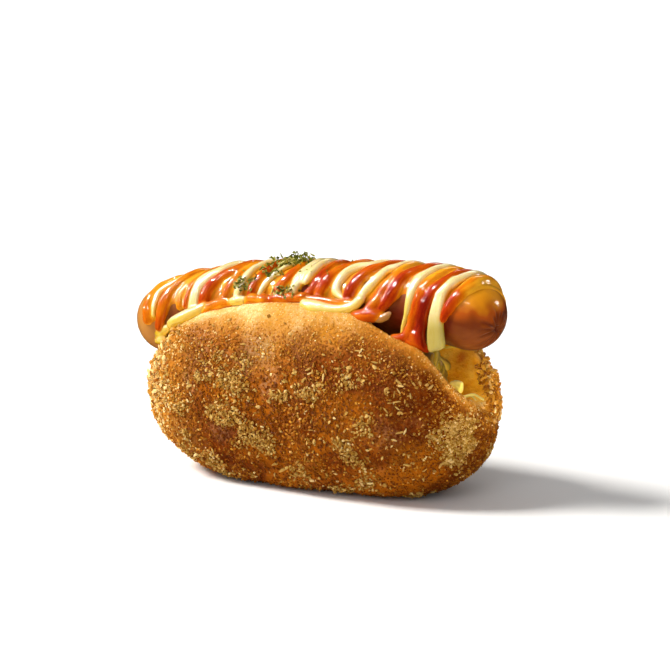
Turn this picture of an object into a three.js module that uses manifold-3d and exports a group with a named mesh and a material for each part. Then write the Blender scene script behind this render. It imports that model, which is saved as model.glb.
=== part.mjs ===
// Sausage salad bun: a crumbed, fried long roll, slit lengthways, filled with
// shredded cabbage salad and carrying a whole frankfurter that is striped
// with mayonnaise and ketchup.  Millimetres, +Z up, X along the roll.
// The origin is on the table, under the middle of the overall box.
import * as THREE from 'three';
import * as BufferGeometryUtils from 'three/addons/utils/BufferGeometryUtils.js';
import Module from 'manifold-3d';

const wasm = await Module();
wasm.setup();

// ---------------------------------------------------------------- sizes ---
const SHIFT_X = -2.55;        // design frame -> middle of the overall box
const SHIFT_Y = 0.0;

// roll
const BUN_X = 2.6;            // middle of the roll
const BUN_HALF_L = 72.8;      // half length
const BUN_HALF_W = 34.0;      // half width
const BUN_MID_Z = 33.0;       // height of its widest line
const BUN_UP = 45.2;          // crown above the widest line
const BUN_DOWN = 37.5;        // belly below it, before the flat foot is cut
const BUN_TILT = 0.10;        // the right end stands a little taller
const BUN_SKEW = 0.10;        // its ends are cut slightly askew
const BUN_SECTION = 2.25;     // squareness of the cross-section
const PLAN = [3.6, 2.1], CROWN = [2.3, 2.0], BELLY = [3.5, 2.2];
const BUN_RINGS = 30, BUN_SIDES = 36;
const LUMP = 0.42;            // low swells of the crust

// slit for the filling: a rounded U that runs through both ends
const SLIT_FLOOR = 37.5;
const SLIT_HALF = 20.0;       // half width that the mouth tends to
const SLIT_OPEN = 11.0;       // how fast it opens with height

// frankfurter
const SAUSAGE_R = 13.4;
const SAUSAGE_X0 = -64.5, SAUSAGE_X1 = 69.5;   // centres of its round ends
const BOW_SPAN = 67.0;
const BOW_Z = [70.9, 5.62, -3.27, 5.17, -2.71, -2.59];  // bow of the axis
const BOW_Y = [0.3, 3.5];
const SAUSAGE_SIDES = 24, SAUSAGE_STEPS = 19, CAP_RINGS = 4;

// salad
const SALAD_X = -1.0, SALAD_HALF_L = 61.0, SALAD_UP = 33.5, SALAD_SECTION = 3.2;
const SALAD_TOE = 0.5;        // its foot runs a little further out than its top
const SALAD_UNEVEN = 1.3;

const GAP = 0.3;              // clearance between neighbouring pieces
const SAUCE_GAP = 0.45;       // sauce above the skin, counted at the facets

// sauce lines: foot = X at 75 deg down the front, top = X at 20 deg,
// w = half width, h = thickness; front/back = where each line ends (deg)
const MAYO = [
  { foot: -64.4, top: -56.5, w: 1.7, h: 2.6 },
  { foot: -47.0, top: -38.8, w: 2.8, h: 3.3 },
  { foot: -26.8, top: -22.8, w: 2.3, h: 3.0 },
  { foot: -2.0, top: 2.0, w: 2.6, h: 3.1 },
  { foot: 18.6, top: 22.4, w: 2.1, h: 3.0 },
  { foot: 30.6, top: 37.2, w: 1.9, h: 2.9 },
  { foot: 49.6, top: 52.6, w: 2.0, h: 3.0 },
];
const MAYO_END = { foot: 64.2, top: 66.6, w: 2.5, h: 3.2, front: 124, back: -70 };
const KETCHUP = [
  { foot: -60.2, top: -51.4, w: 2.5, h: 2.9, front: 84, back: -66 },
  { foot: -40.6, top: -30.4, w: 2.9, h: 3.1, front: 92, back: -72 },
  { foot: -21.0, top: -17.2, w: 2.5, h: 2.9, front: 80, back: -66 },
  { foot: 8.6, top: 13.2, w: 2.8, h: 3.0, front: 88, back: -70 },
  { foot: 23.6, top: 28.8, w: 2.5, h: 2.8, front: 80, back: -64 },
  { foot: 40.0, top: 46.6, w: 3.0, h: 3.1, front: 104, back: -72 },
  { foot: 57.6, top: 60.6, w: 2.6, h: 3.0, front: 118, back: -66 },
];
const NEAR_TURN = 92, FAR_TURN = -84;   // where the mayonnaise turns back
const SAUCE_STEP = 3.9;                 // spacing of the sauce sections

// --------------------------------------------------------------- helpers --
const rad = THREE.MathUtils.degToRad;
const V = (x, y, z) => new THREE.Vector3(x, y, z);
const spow = (v, p) => Math.sign(v) * Math.pow(Math.abs(v), p);
const taper = (u, [p, q]) =>
  Math.pow(Math.max(0, 1 - Math.pow(Math.abs(u), p)), 1 / q);

// closed surface through equal rings, ending in a point or a flat fan
function loft(rings, first, last) {
  const n = rings[0].length, pos = [], idx = [];
  for (const ring of rings) for (const p of ring) pos.push(p.x, p.y, p.z);
  for (let i = 0; i + 1 < rings.length; i++)
    for (let j = 0; j < n; j++) {
      const a = i * n + j, b = i * n + (j + 1) % n, c = a + n, d = b + n;
      idx.push(a, b, d, a, d, c);
    }
  const mid = (ring) =>
    ring.reduce((s, p) => s.add(p), V(0, 0, 0)).multiplyScalar(1 / n);
  for (const [ring, at, end] of [[0, first, 0], [rings.length - 1, last, 1]]) {
    const p = at || mid(rings[ring].map((q) => q.clone()));
    const k = pos.length / 3;
    pos.push(p.x, p.y, p.z);
    for (let j = 0; j < n; j++) {
      const a = ring * n + j, b = ring * n + (j + 1) % n;
      if (end) idx.push(a, b, k); else idx.push(b, a, k);
    }
  }
  return toManifold(pos, idx);
}

function toManifold(pos, idx) {
  let g = new THREE.BufferGeometry();
  g.setAttribute('position', new THREE.Float32BufferAttribute(pos, 3));
  g.setIndex(idx);
  g = BufferGeometryUtils.mergeVertices(g, 1e-4);
  const p = g.attributes.position, t = Array.from(g.index.array);
  let volume = 0;
  const a = V(), b = V(), c = V();
  for (let i = 0; i < t.length; i += 3) {
    a.fromBufferAttribute(p, t[i]);
    b.fromBufferAttribute(p, t[i + 1]);
    c.fromBufferAttribute(p, t[i + 2]);
    volume += a.dot(b.cross(c));
  }
  const tri = [];
  for (let i = 0; i < t.length; i += 3) {
    const [x, y, z] = [t[i], t[i + 1], t[i + 2]];
    if (x === y || y === z || z === x) continue;
    if (volume < 0) tri.push(x, z, y); else tri.push(x, y, z);
  }
  return new wasm.Manifold(new wasm.Mesh({
    numProp: 3,
    vertProperties: new Float32Array(p.array),
    triVerts: new Uint32Array(tri),
  }));
}

function block(x0, x1, y0, y1, z0, z1) {
  const g = new THREE.BoxGeometry(x1 - x0, y1 - y0, z1 - z0);
  g.translate((x0 + x1) / 2, (y0 + y1) / 2, (z0 + z1) / 2);
  g.deleteAttribute('normal');
  g.deleteAttribute('uv');
  const m = BufferGeometryUtils.mergeVertices(g, 1e-4);
  return toManifold(Array.from(m.attributes.position.array), Array.from(m.index.array));
}

// ------------------------------------------------------------------ roll --
function rollPoint(u, phi, grow = 0) {
  const b = (BUN_HALF_W + grow) * taper(u, PLAN);
  const up = BUN_UP * taper(u, CROWN) * (1 + BUN_TILT * u);
  const down = BUN_DOWN * taper(u, BELLY);
  const c = Math.cos(phi), s = Math.sin(phi);
  const lump = 1 + (LUMP / 34) * (Math.sin(5.1 * u + 2 * phi + 0.6)
    + 0.8 * Math.sin(9.3 * u - 3 * phi + 2.1)) * (s > -0.4 ? 1 : 0);
  const y = b * lump * spow(c, 2 / BUN_SECTION);
  const z = BUN_MID_Z + (s > 0 ? up : down) * lump * spow(s, 2 / BUN_SECTION);
  return V(BUN_X + BUN_HALF_L * u + BUN_SKEW * y, y, z);
}
function roll() {
  const rings = [];
  for (let i = 1; i < BUN_RINGS; i++) {
    const u = Math.sin((i / BUN_RINGS - 0.5) * Math.PI) * 0.9985;
    const ring = [];
    for (let j = 0; j < BUN_SIDES; j++)
      ring.push(rollPoint(u, (j + 0.5) * 2 * Math.PI / BUN_SIDES));
    rings.push(ring);
  }
  return loft(rings, V(BUN_X - BUN_HALF_L, 0, BUN_MID_Z), V(BUN_X + BUN_HALF_L, 0, BUN_MID_Z));
}

// ------------------------------------------------------------------ slit --
const slitHalf = (z) =>
  SLIT_HALF * (1 - Math.exp(-Math.max(z - SLIT_FLOOR, 0) / SLIT_OPEN));
function slit(inset, topZ) {
  const zs = [0, 0.8, 2.2, 4.5, 8, 12.5, 18.5, 26, 36].map((d) => SLIT_FLOOR + d);
  zs.push(topZ);
  const half = zs.map((z, i) => (i === 0 ? 0 : Math.max(slitHalf(z) - inset, 0.05)));
  const outline = [];
  zs.forEach((z, i) => outline.push([half[i], z + inset]));
  for (let i = zs.length - 1; i > 0; i--) outline.push([-half[i], zs[i] + inset]);
  const ring = (x) => outline.map(([y, z]) => V(x, y, z));
  // a fan from the profile's middle closes each end
  return loft([ring(-95), ring(95)], V(-95, 0, SLIT_FLOOR + 30), V(95, 0, SLIT_FLOOR + 30));
}

// --------------------------------------------------------------- sausage --
function axis(x) {
  const t = x / BOW_SPAN;
  const z = BOW_Z.reduce((s, c, k) => s + c * Math.pow(t, k), 0);
  return V(x, BOW_Y[0] - BOW_Y[1] * Math.pow(Math.abs(t), 3), z);
}
function axes(x) {
  const d = axis(x + 0.05).sub(axis(x - 0.05)).normalize();
  const n = d.clone().cross(V(0, 0, 1)).normalize();   // towards -Y, the front
  const m = n.clone().cross(d);                        // upwards
  return { d, n, m };
}
// point on the skin: theta 0 on top, 90 deg at the front
function skin(x, theta, r) {
  const { n, m } = axes(x);
  return axis(x).addScaledVector(n, r * Math.sin(theta)).addScaledVector(m, r * Math.cos(theta));
}
function sausage(r) {
  const rings = [];
  const hoop = (x, along, rr) => {
    const { d } = axes(x), ring = [];
    for (let j = 0; j < SAUSAGE_SIDES; j++)
      ring.push(skin(x, j * 2 * Math.PI / SAUSAGE_SIDES, rr).addScaledVector(d, along));
    return ring;
  };
  for (let k = CAP_RINGS; k > 0; k--) {
    const a = k / (CAP_RINGS + 0.6) * Math.PI / 2;
    rings.push(hoop(SAUSAGE_X0, -r * Math.sin(a), r * Math.cos(a)));
  }
  for (let i = 0; i <= SAUSAGE_STEPS; i++)
    rings.push(hoop(SAUSAGE_X0 + (SAUSAGE_X1 - SAUSAGE_X0) * i / SAUSAGE_STEPS, 0, r));
  for (let k = 1; k <= CAP_RINGS; k++) {
    const a = k / (CAP_RINGS + 0.6) * Math.PI / 2;
    rings.push(hoop(SAUSAGE_X1, r * Math.sin(a), r * Math.cos(a)));
  }
  const tip = (x, s) => axis(x).addScaledVector(axes(x).d, s * r);
  return loft(rings, tip(SAUSAGE_X0, -1), tip(SAUSAGE_X1, 1));
}

// ----------------------------------------------------------------- sauce --
// X of a line at theta (deg): straight down the front, easing over the back
function lineX(l, th) {
  const slope = (l.top - l.foot) / 55;
  return th >= 20 ? l.foot + slope * (75 - th)
    : l.top + slope * 50 * (1 - Math.exp(-(20 - th) / 50));
}
// ribbon of sauce lying on the skin along way = [[x, theta deg], ...]
function ribbon(way, width, height, grow = 0) {
  const k = SAUSAGE_R * Math.PI / 180;
  const curve = new THREE.CatmullRomCurve3(way.map(([x, th]) => V(x, th * k, 0)), false, 'centripetal');
  const length = curve.getLength(), steps = Math.max(6, Math.round(length / SAUCE_STEP));
  const section = [[-1, 0.12], [-0.86, 0.55], [-0.45, 0.92], [0.1, 1], [0.62, 0.8], [0.95, 0.42], [0.98, 0.1], [0, 0]];
  const rings = [];
  for (let i = 0; i <= steps; i++) {
    const t = i / steps, p = curve.getPointAt(t), q = curve.getTangentAt(t);
    const end = Math.min(i, steps - i), round = end === 0 ? 0.45 : end === 1 ? 0.92 : 1;
    const w = width(t) * round + grow, h = height(t) * (end === 0 ? 0.6 : 1) + grow;
    const along = end === 0 ? grow * (i === 0 ? -1 : 1) : 0;
    rings.push(section.map(([s, r]) => {
      const x = p.x + along * q.x - s * w * q.y, a = (p.y + along * q.y + s * w * q.x) / SAUSAGE_R;
      return skin(x, a, SAUSAGE_R + SAUCE_GAP - grow + r * h + (r > 0 ? grow * 0.6 : 0));
    }));
  }
  return loft(rings);
}
function zigzag(grow = 0) {
  const way = [], widths = [], heights = [];
  MAYO.forEach((l, i) => {
    const down = i % 2 === 0;                 // first line runs to the front
    const turns = [66, 40, 12, -20, -48, -68];
    const go = down ? turns.slice().reverse() : turns;
    go.forEach((th) => { way.push([lineX(l, th), th]); widths.push(l.w); heights.push(l.h); });
    const next = MAYO[i + 1];
    if (next) {
      const th = down ? NEAR_TURN : FAR_TURN;
      const xa = lineX(l, th), xb = lineX(next, th);
      const step = Math.min(3.0, (xb - xa) * 0.25);
      way.push([xa + step, th - Math.sign(th) * 2], [xb - step, th - Math.sign(th) * 2]);
      widths.push(2.2, 2.2); heights.push(2.7, 2.7);
    } else {
      way.push([lineX(l, down ? 100 : -74), down ? 100 : -74]);
      widths.push(l.w * 0.7); heights.push(l.h * 0.7);
    }
  });
  const pick = (list) => (t) => {
    const f = t * (list.length - 1), i = Math.min(list.length - 2, Math.floor(f));
    return THREE.MathUtils.lerp(list[i], list[i + 1], f - i) * (1 + 0.09 * Math.sin(61 * t));
  };
  return ribbon(way, pick(widths), pick(heights), grow);
}
function line(l, grow = 0) {
  const way = [];
  for (let th = l.front; th > l.back; th -= 26) way.push([lineX(l, th), th]);
  way.push([lineX(l, l.back), l.back]);
  const w = (t) => l.w * (0.9 + 0.16 * Math.sin(7 * t + l.foot));
  const h = (t) => l.h * (0.93 + 0.1 * Math.sin(9 * t + 2 * l.foot));
  return ribbon(way, w, h, grow);
}

// ----------------------------------------------------------------- salad --
function saladMound() {
  const rings = [];
  const N = 30, S = 28;
  for (let i = 1; i < N; i++) {
    const u = Math.sin((i / N - 0.5) * Math.PI) * 0.999, ring = [];
    for (let j = 0; j < S; j++) {
      const phi = (j + 0.5) * 2 * Math.PI / S, c = Math.cos(phi), s = Math.sin(phi);
      const rough = SALAD_UNEVEN * (Math.sin(23 * u + 3.1 * phi) * 0.6 + Math.sin(37 * u - 5 * phi + 1.3) * 0.4);
      const b = 30 * taper(u, [6, 2]), up = SALAD_UP * taper(u, [4.5, 1.9]) * (1 + 0.08 * u);
      const y = b * spow(c, 2 / SALAD_SECTION);
      const z = BUN_MID_Z + (s > 0 ? up + rough * taper(u, [4, 2]) : 6) * spow(s, 2 / SALAD_SECTION);
      const toe = SALAD_TOE * Math.max(0, 52 - Math.max(z, SLIT_FLOOR)) * u * u * u;
      ring.push(V(SALAD_X + (SALAD_HALF_L + rough * 0.7) * u + toe + BUN_SKEW * y, y, z));
    }
    rings.push(ring);
  }
  return loft(rings, V(SALAD_X - SALAD_HALF_L - 5, 0, BUN_MID_Z), V(SALAD_X + SALAD_HALF_L + 5, 0, BUN_MID_Z));
}

// -------------------------------------------------------------- assembly --
const mayo = zigzag();
const mayoRoom = zigzag(GAP);
const mayoEnd = line(MAYO_END);
const mayoEndRoom = line(MAYO_END, GAP);
const ketchups = KETCHUP.map((l) => line(l).subtract(mayoRoom).subtract(mayoEndRoom));
let sauceRoom = mayoRoom.add(mayoEndRoom);
for (const l of KETCHUP) sauceRoom = sauceRoom.add(line(l, GAP));

const bunSolid = roll()
  .subtract(slit(0, 99))
  .subtract(block(-99, 99, -60, 60, -30, 0))
  .subtract(sausage(SAUSAGE_R + GAP))
  .subtract(sauceRoom);
const saladSolid = saladMound()
  .intersect(slit(GAP, 88))
  .subtract(sausage(SAUSAGE_R + GAP))
  .subtract(sauceRoom);
const sausageSolid = sausage(SAUSAGE_R);

function largest(solid) {
  const pieces = solid.decompose();
  pieces.sort((a, b) => b.volume() - a.volume());
  return pieces[0];
}
const group = new THREE.Group();
function add(name, solid, color, roughness) {
  const m = largest(solid).getMesh();
  let g = new THREE.BufferGeometry();
  g.setAttribute('position', new THREE.Float32BufferAttribute(m.vertProperties, 3));
  g.setIndex(Array.from(m.triVerts));
  g.translate(SHIFT_X, SHIFT_Y, 0);
  g.computeVertexNormals();
  const mesh = new THREE.Mesh(g, new THREE.MeshStandardMaterial({ color, roughness, metalness: 0, flatShading: true }));
  mesh.name = name;
  group.add(mesh);
}
add('bun', bunSolid, 0xb9782c, 0.85);
add('salad_filling', saladSolid, 0xc9c877, 0.6);
add('sausage', sausageSolid, 0xa85a20, 0.35);
add('mayo_zigzag', mayo, 0xf2e6b4, 0.3);
add('mayo_end_line', mayoEnd, 0xeadf9a, 0.3);
ketchups.forEach((k, i) => add(`ketchup_line_${i + 1}`, k, 0xc23a08, 0.28));

export default group;
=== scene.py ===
import math
import bpy
import numpy as np
from mathutils import Matrix, Vector


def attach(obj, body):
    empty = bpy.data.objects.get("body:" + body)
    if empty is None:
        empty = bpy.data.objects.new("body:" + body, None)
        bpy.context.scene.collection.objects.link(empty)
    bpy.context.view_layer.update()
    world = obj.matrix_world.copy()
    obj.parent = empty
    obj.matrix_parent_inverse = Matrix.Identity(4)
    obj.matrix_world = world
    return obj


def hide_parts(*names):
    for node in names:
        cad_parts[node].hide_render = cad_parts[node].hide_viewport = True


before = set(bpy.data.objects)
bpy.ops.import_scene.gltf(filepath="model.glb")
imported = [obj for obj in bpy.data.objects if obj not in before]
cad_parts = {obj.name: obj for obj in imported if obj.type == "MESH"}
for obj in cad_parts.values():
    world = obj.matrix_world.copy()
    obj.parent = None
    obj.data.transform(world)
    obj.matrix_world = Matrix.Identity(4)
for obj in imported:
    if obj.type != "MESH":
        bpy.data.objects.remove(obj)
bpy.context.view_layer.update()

# ============================================================ sizes, mm ===
# The same numbers as the construction: design frame, shifted by SHIFT.
SHIFT = np.array([-2.55, 0.0, 0.0])
BUN_X, BUN_L, BUN_W, BUN_Z = 2.6, 72.8, 34.0, 33.0
BUN_UP, BUN_DOWN, BUN_TILT, BUN_SKEW, BUN_MS = 45.2, 37.5, 0.10, 0.10, 2.25
PLAN, CROWN, BELLY = (3.6, 2.1), (2.3, 2.0), (3.5, 2.2)
SLIT_FLOOR, SLIT_HALF, SLIT_OPEN = 37.5, 20.0, 11.0
R = 13.4
SX0, SX1, SPAN = -64.5, 69.5, 67.0
BOW_Z = (70.9, 5.62, -3.27, 5.17, -2.71, -2.59)
BOW_Y = (0.3, 3.5)
SALAD_X, SALAD_L, SALAD_UP = -1.0, 61.0, 33.5


# ============================================================== helpers ===
def lin(r, g, b):
    """sRGB 0-255 to a linear colour."""
    out = []
    for c in (r, g, b):
        c = c / 255.0
        out.append(c / 12.92 if c <= 0.04045 else ((c + 0.055) / 1.055) ** 2.4)
    return (*out, 1.0)


_TABLE = np.random.default_rng(11).random((4, 32, 32, 32), dtype=np.float32) * 2 - 1


def noise(P, scale, which=0, shift=0.0):
    """Smooth value noise in -1..1; scale is the size of one cell in mm."""
    q = np.asarray(P, dtype=np.float32) / scale + 100.0 + shift
    i = np.floor(q).astype(np.int32)
    f = (q - i).astype(np.float32)
    f = f * f * (3 - 2 * f)
    T = _TABLE[which % 4]
    a = i & 31
    b = (i + 1) & 31
    x0, y0, z0 = a[..., 0], a[..., 1], a[..., 2]
    x1, y1, z1 = b[..., 0], b[..., 1], b[..., 2]
    fx, fy, fz = f[..., 0], f[..., 1], f[..., 2]
    c00 = T[x0, y0, z0] * (1 - fx) + T[x1, y0, z0] * fx
    c10 = T[x0, y1, z0] * (1 - fx) + T[x1, y1, z0] * fx
    c01 = T[x0, y0, z1] * (1 - fx) + T[x1, y0, z1] * fx
    c11 = T[x0, y1, z1] * (1 - fx) + T[x1, y1, z1] * fx
    return (c00 * (1 - fy) + c10 * fy) * (1 - fz) + (c01 * (1 - fy) + c11 * fy) * fz


def fbm(P, scale, octaves=3, which=0):
    out, amp, tot = 0.0, 1.0, 0.0
    for k in range(octaves):
        out = out + amp * noise(P, scale / 2 ** k, which + k, 7.3 * k)
        tot += amp
        amp *= 0.5
    return out / tot


def smooth(a, lo, hi):
    t = np.clip((a - lo) / (hi - lo), 0, 1)
    return t * t * (3 - 2 * t)


def smax(a, b, k):
    h = np.maximum(k - np.abs(a - b), 0) / k
    return np.maximum(a, b) + h * h * k * 0.25


class Grid:
    """A box of samples of a signed distance, inside negative."""

    def __init__(self, lo, hi, h):
        self.lo, self.h = np.array(lo, float), h
        self.n = np.ceil((np.array(hi, float) - self.lo) / h).astype(int) + 1
        self.ax = [self.lo[k] + h * np.arange(self.n[k]) for k in range(3)]

    def points(self):
        X, Y, Z = np.meshgrid(*[a.astype(np.float32) for a in self.ax], indexing="ij")
        return X, Y, Z

    def sample(self, F, P):
        q = (P - self.lo) / self.h
        q = np.clip(q, 0, np.array(self.n) - 1.001)
        i = np.floor(q).astype(int)
        f = q - i
        out = 0
        for dx in (0, 1):
            for dy in (0, 1):
                for dz in (0, 1):
                    w = ((f[:, 0] if dx else 1 - f[:, 0]) * (f[:, 1] if dy else 1 - f[:, 1])
                         * (f[:, 2] if dz else 1 - f[:, 2]))
                    out = out + w * F[i[:, 0] + dx, i[:, 1] + dy, i[:, 2] + dz]
        return out

    def gradient(self, F, P):
        e = self.h * 0.6
        g = []
        for k in range(3):
            d = np.zeros(3)
            d[k] = e
            g.append(self.sample(F, P + d) - self.sample(F, P - d))
        g = np.stack(g, 1)
        return g / np.maximum(np.linalg.norm(g, axis=1, keepdims=True), 1e-9)


def blur(F, times=1):
    for _ in range(times):
        for k in range(3):
            G = F.copy()
            a = [slice(None)] * 3
            b = [slice(None)] * 3
            c = [slice(None)] * 3
            a[k], b[k], c[k] = slice(1, -1), slice(0, -2), slice(2, None)
            G[tuple(a)] = F[tuple(a)] * 0.5 + (F[tuple(b)] + F[tuple(c)]) * 0.25
            F = G
    return F


def nets(grid, F):
    """Surface nets: the zero level of F as vertices (mm) and quads."""
    S = F < 0
    nx, ny, nz = F.shape
    c = np.zeros((nx - 1, ny - 1, nz - 1), np.int8)
    for dx in (0, 1):
        for dy in (0, 1):
            for dz in (0, 1):
                c += S[dx:nx - 1 + dx, dy:ny - 1 + dy, dz:nz - 1 + dz]
    act = (c > 0) & (c < 8)
    I = np.argwhere(act)
    idx = np.full(act.shape, -1, np.int32)
    idx[act] = np.arange(len(I), dtype=np.int32)
    P = np.zeros((len(I), 3))
    n = np.zeros(len(I))
    E = []
    for k in range(3):
        o = [j for j in range(3) if j != k]
        for p in (0, 1):
            for q in (0, 1):
                a = np.zeros(3, int)
                a[o[0]], a[o[1]] = p, q
                b = a.copy()
                b[k] = 1
                E.append((a, b))
    for a, b in E:
        fa = F[tuple((I + a).T)]
        fb = F[tuple((I + b).T)]
        m = (fa < 0) != (fb < 0)
        t = fa[m] / (fa[m] - fb[m])
        P[m] += a + t[:, None] * (b - a)
        n[m] += 1
    P = (I + P / n[:, None]) * grid.h + grid.lo
    quads = []
    for k in range(3):
        o = [j for j in range(3) if j != k]
        A = [slice(1, -1)] * 3
        A[k] = slice(0, -1)
        B = list(A)
        B[k] = slice(1, None)
        s0, s1 = S[tuple(A)], S[tuple(B)]
        J = np.argwhere(s0 != s1)
        off = np.ones(3, int)
        off[k] = 0
        J = J + off
        flip = S[tuple(J.T)]
        d1, d2 = np.zeros(3, int), np.zeros(3, int)
        d1[o[0]] = 1
        d2[o[1]] = 1
        v = [idx[tuple((J - x).T)] for x in (d1 * 0, d1, d1 + d2, d2)]
        Q = np.stack(v, 1)
        if k == 1:
            flip = ~flip
        Q[flip] = Q[flip][:, ::-1]
        quads.append(Q)
    Q = np.concatenate(quads)
    Q = Q[(Q >= 0).all(1)]
    # outward faces: a positive volume
    a, b, c3, d = (P[Q[:, j]] for j in range(4))
    vol = (np.einsum("ij,ij->i", a, np.cross(b, c3)) + np.einsum("ij,ij->i", a, np.cross(c3, d))).sum()
    if vol < 0:
        Q = Q[:, ::-1]
    return P, Q


def largest_shells(P, Q, keep=40):
    """Drops specks: shells with fewer than keep vertices."""
    n = len(P)
    lab = np.arange(n)
    for _ in range(400):
        m = lab[Q].min(1)
        new = lab.copy()
        for j in range(4):
            np.minimum.at(new, Q[:, j], m)
        new = new[new]
        if (new == lab).all():
            break
        lab = new
    u, inv, cnt = np.unique(lab, return_inverse=True, return_counts=True)
    ok = cnt[inv] >= keep
    Q = Q[ok[Q].all(1)]
    used = np.zeros(n, bool)
    used[Q.ravel()] = True
    remap = np.cumsum(used) - 1
    return P[used], remap[Q], used


def relax(P, Q, times=1, amount=0.5):
    """Laplacian smoothing over the quads' edges."""
    e = np.concatenate([Q[:, [0, 1]], Q[:, [1, 2]], Q[:, [2, 3]], Q[:, [3, 0]]])
    for _ in range(times):
        acc = np.zeros_like(P)
        cnt = np.zeros(len(P))
        for a, b in ((0, 1), (1, 0)):
            np.add.at(acc, e[:, a], P[e[:, b]])
            np.add.at(cnt, e[:, a], 1)
        P = P + amount * (acc / np.maximum(cnt, 1)[:, None] - P)
    return P


def mesh_object(name, P, faces, smooth_shade=True, attrs=None, mat=None):
    """P in mm in the design frame; faces an (n, 3) or (n, 4) array."""
    P = (np.asarray(P, float) + SHIFT) * 0.001
    faces = np.asarray(faces)
    me = bpy.data.meshes.new(name)
    k = faces.shape[1]
    me.vertices.add(len(P))
    me.vertices.foreach_set("co", P.astype(np.float32).ravel())
    me.loops.add(faces.size)
    me.loops.foreach_set("vertex_index", faces.astype(np.int32).ravel())
    me.polygons.add(len(faces))
    me.polygons.foreach_set("loop_start", (np.arange(len(faces)) * k).astype(np.int32))
    me.update(calc_edges=True)
    me.validate()
    me.polygons.foreach_set("use_smooth", np.full(len(me.polygons), smooth_shade))
    for key, val in (attrs or {}).items():
        a = me.attributes.new(key, "FLOAT", "POINT")
        a.data.foreach_set("value", np.asarray(val, np.float32))
    me.update()
    ob = bpy.data.objects.new(name, me)
    bpy.context.scene.collection.objects.link(ob)
    if mat:
        me.materials.append(mat)
    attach(ob, "root")
    return ob


def normals_of(P, Q):
    if Q.shape[1] == 4:
        n = np.cross(P[Q[:, 2]] - P[Q[:, 0]], P[Q[:, 3]] - P[Q[:, 1]])
    else:
        n = np.cross(P[Q[:, 1]] - P[Q[:, 0]], P[Q[:, 2]] - P[Q[:, 0]])
    N = np.zeros_like(P)
    for j in range(Q.shape[1]):
        np.add.at(N, Q[:, j], n)
    return N / np.maximum(np.linalg.norm(N, axis=1, keepdims=True), 1e-12)


# ================================================== shapes as functions ===
def taper(u, p, q):
    return np.maximum(0, 1 - np.abs(u) ** p) ** (1 / q)


def vhalf(z):
    return SLIT_HALF * (1 - np.exp(-(z - SLIT_FLOOR) / SLIT_OPEN))


def roll_field(X, Y, Z):
    u = (X - BUN_X - BUN_SKEW * Y) / BUN_L
    uc = np.clip(u, -0.9985, 0.9985)
    T = taper(uc, *PLAN)
    up = BUN_UP * taper(uc, *CROWN) / T * (1 + BUN_TILT * uc)
    dn = BUN_DOWN * taper(uc, *BELLY) / T
    up = up * (1 + 0.26 * np.exp(-((X - 61.0) / 6.5) ** 2 / 2) * smooth(-Y, 2, 10))     # the front lip's full shoulder at the mouth
    z = Z - BUN_Z
    g = (np.abs(Y / BUN_W) ** BUN_MS + np.abs(z / np.where(z > 0, up, dn)) ** BUN_MS) ** (1 / BUN_MS)
    return g - T + np.maximum(np.abs(u) - 0.9985, 0) * 6


def slit_field(X, Y, Z):
    wave = 0.7 * np.sin(X * 0.083 + 0.7) + 0.45 * np.sin(X * 0.21 + 2.0)
    near = np.clip((Z - 45) / 20, 0, 1)
    front = smooth(-Y, -3, 3)
    hug = (4.3 * front + 2.0 * (1 - front)) * (1 - smooth(X, 24, 46)) * (1 - 0.7 * smooth(-X, 52, 66))
    w = vhalf(Z) * (1 - hug / SLIT_HALF) + wave * near * 0.7
    s = SLIT_HALF / SLIT_OPEN * np.exp(-np.maximum(Z - SLIT_FLOOR, -6) / SLIT_OPEN)
    return (np.abs(Y) - w) / np.sqrt(1 + s * s)


def axis(x):
    t = np.asarray(x, float) / SPAN
    z = sum(c * t ** k for k, c in enumerate(BOW_Z))
    return np.stack([np.asarray(x, float), BOW_Y[0] - BOW_Y[1] * np.abs(t) ** 3, z], -1)


def axes(x):
    d = axis(x + 0.05) - axis(x - 0.05)
    d /= np.linalg.norm(d, axis=-1, keepdims=True)
    n = np.cross(d, np.array([0, 0, 1.0]))
    n /= np.linalg.norm(n, axis=-1, keepdims=True)
    return d, n, np.cross(n, d)


def skin(x, th, r):
    """x along the sausage (past SX0 or SX1 it runs over the round end), th radians from the top towards the front."""
    x = np.asarray(x, float)
    th = np.asarray(th, float)
    xc = np.clip(x, SX0, SX1)
    d, n, m = axes(xc)
    a = (x - xc) / R
    r = np.asarray(r, float)
    s, c = np.sin(a)[..., None], np.cos(a)[..., None]
    q = np.sin(th)[..., None] * n + np.cos(th)[..., None] * m
    return axis(xc) + r[..., None] * (s * d + c * q)


def sausage_distance(P):
    x = np.clip(P[..., 0], SX0, SX1)
    for _ in range(3):
        C = axis(x)
        d, _n, _m = axes(x)
        x = np.clip(x + np.einsum("...i,...i->...", P - C, d), SX0, SX1)
    return np.linalg.norm(P - axis(x), axis=-1) - R, x


def catmull(pts, step):
    """Catmull-Rom through rows of pts, resampled about every step of its first three columns in mm."""
    pts = np.asarray(pts, float)
    p = np.vstack([2 * pts[0] - pts[1], pts, 2 * pts[-1] - pts[-2]])
    out = []
    for i in range(1, len(p) - 2):
        L = np.linalg.norm(p[i + 1][:3] - p[i][:3])
        n = max(2, int(math.ceil(L / step)))
        t = np.linspace(0, 1, n, endpoint=False)[:, None]
        out.append(0.5 * (2 * p[i] + (p[i + 1] - p[i - 1]) * t
                          + (2 * p[i - 1] - 5 * p[i] + 4 * p[i + 1] - p[i + 2]) * t ** 2
                          + (3 * p[i] - p[i - 1] - 3 * p[i + 1] + p[i + 2]) * t ** 3))
    out.append(pts[-1:])
    return np.vstack(out)


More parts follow.
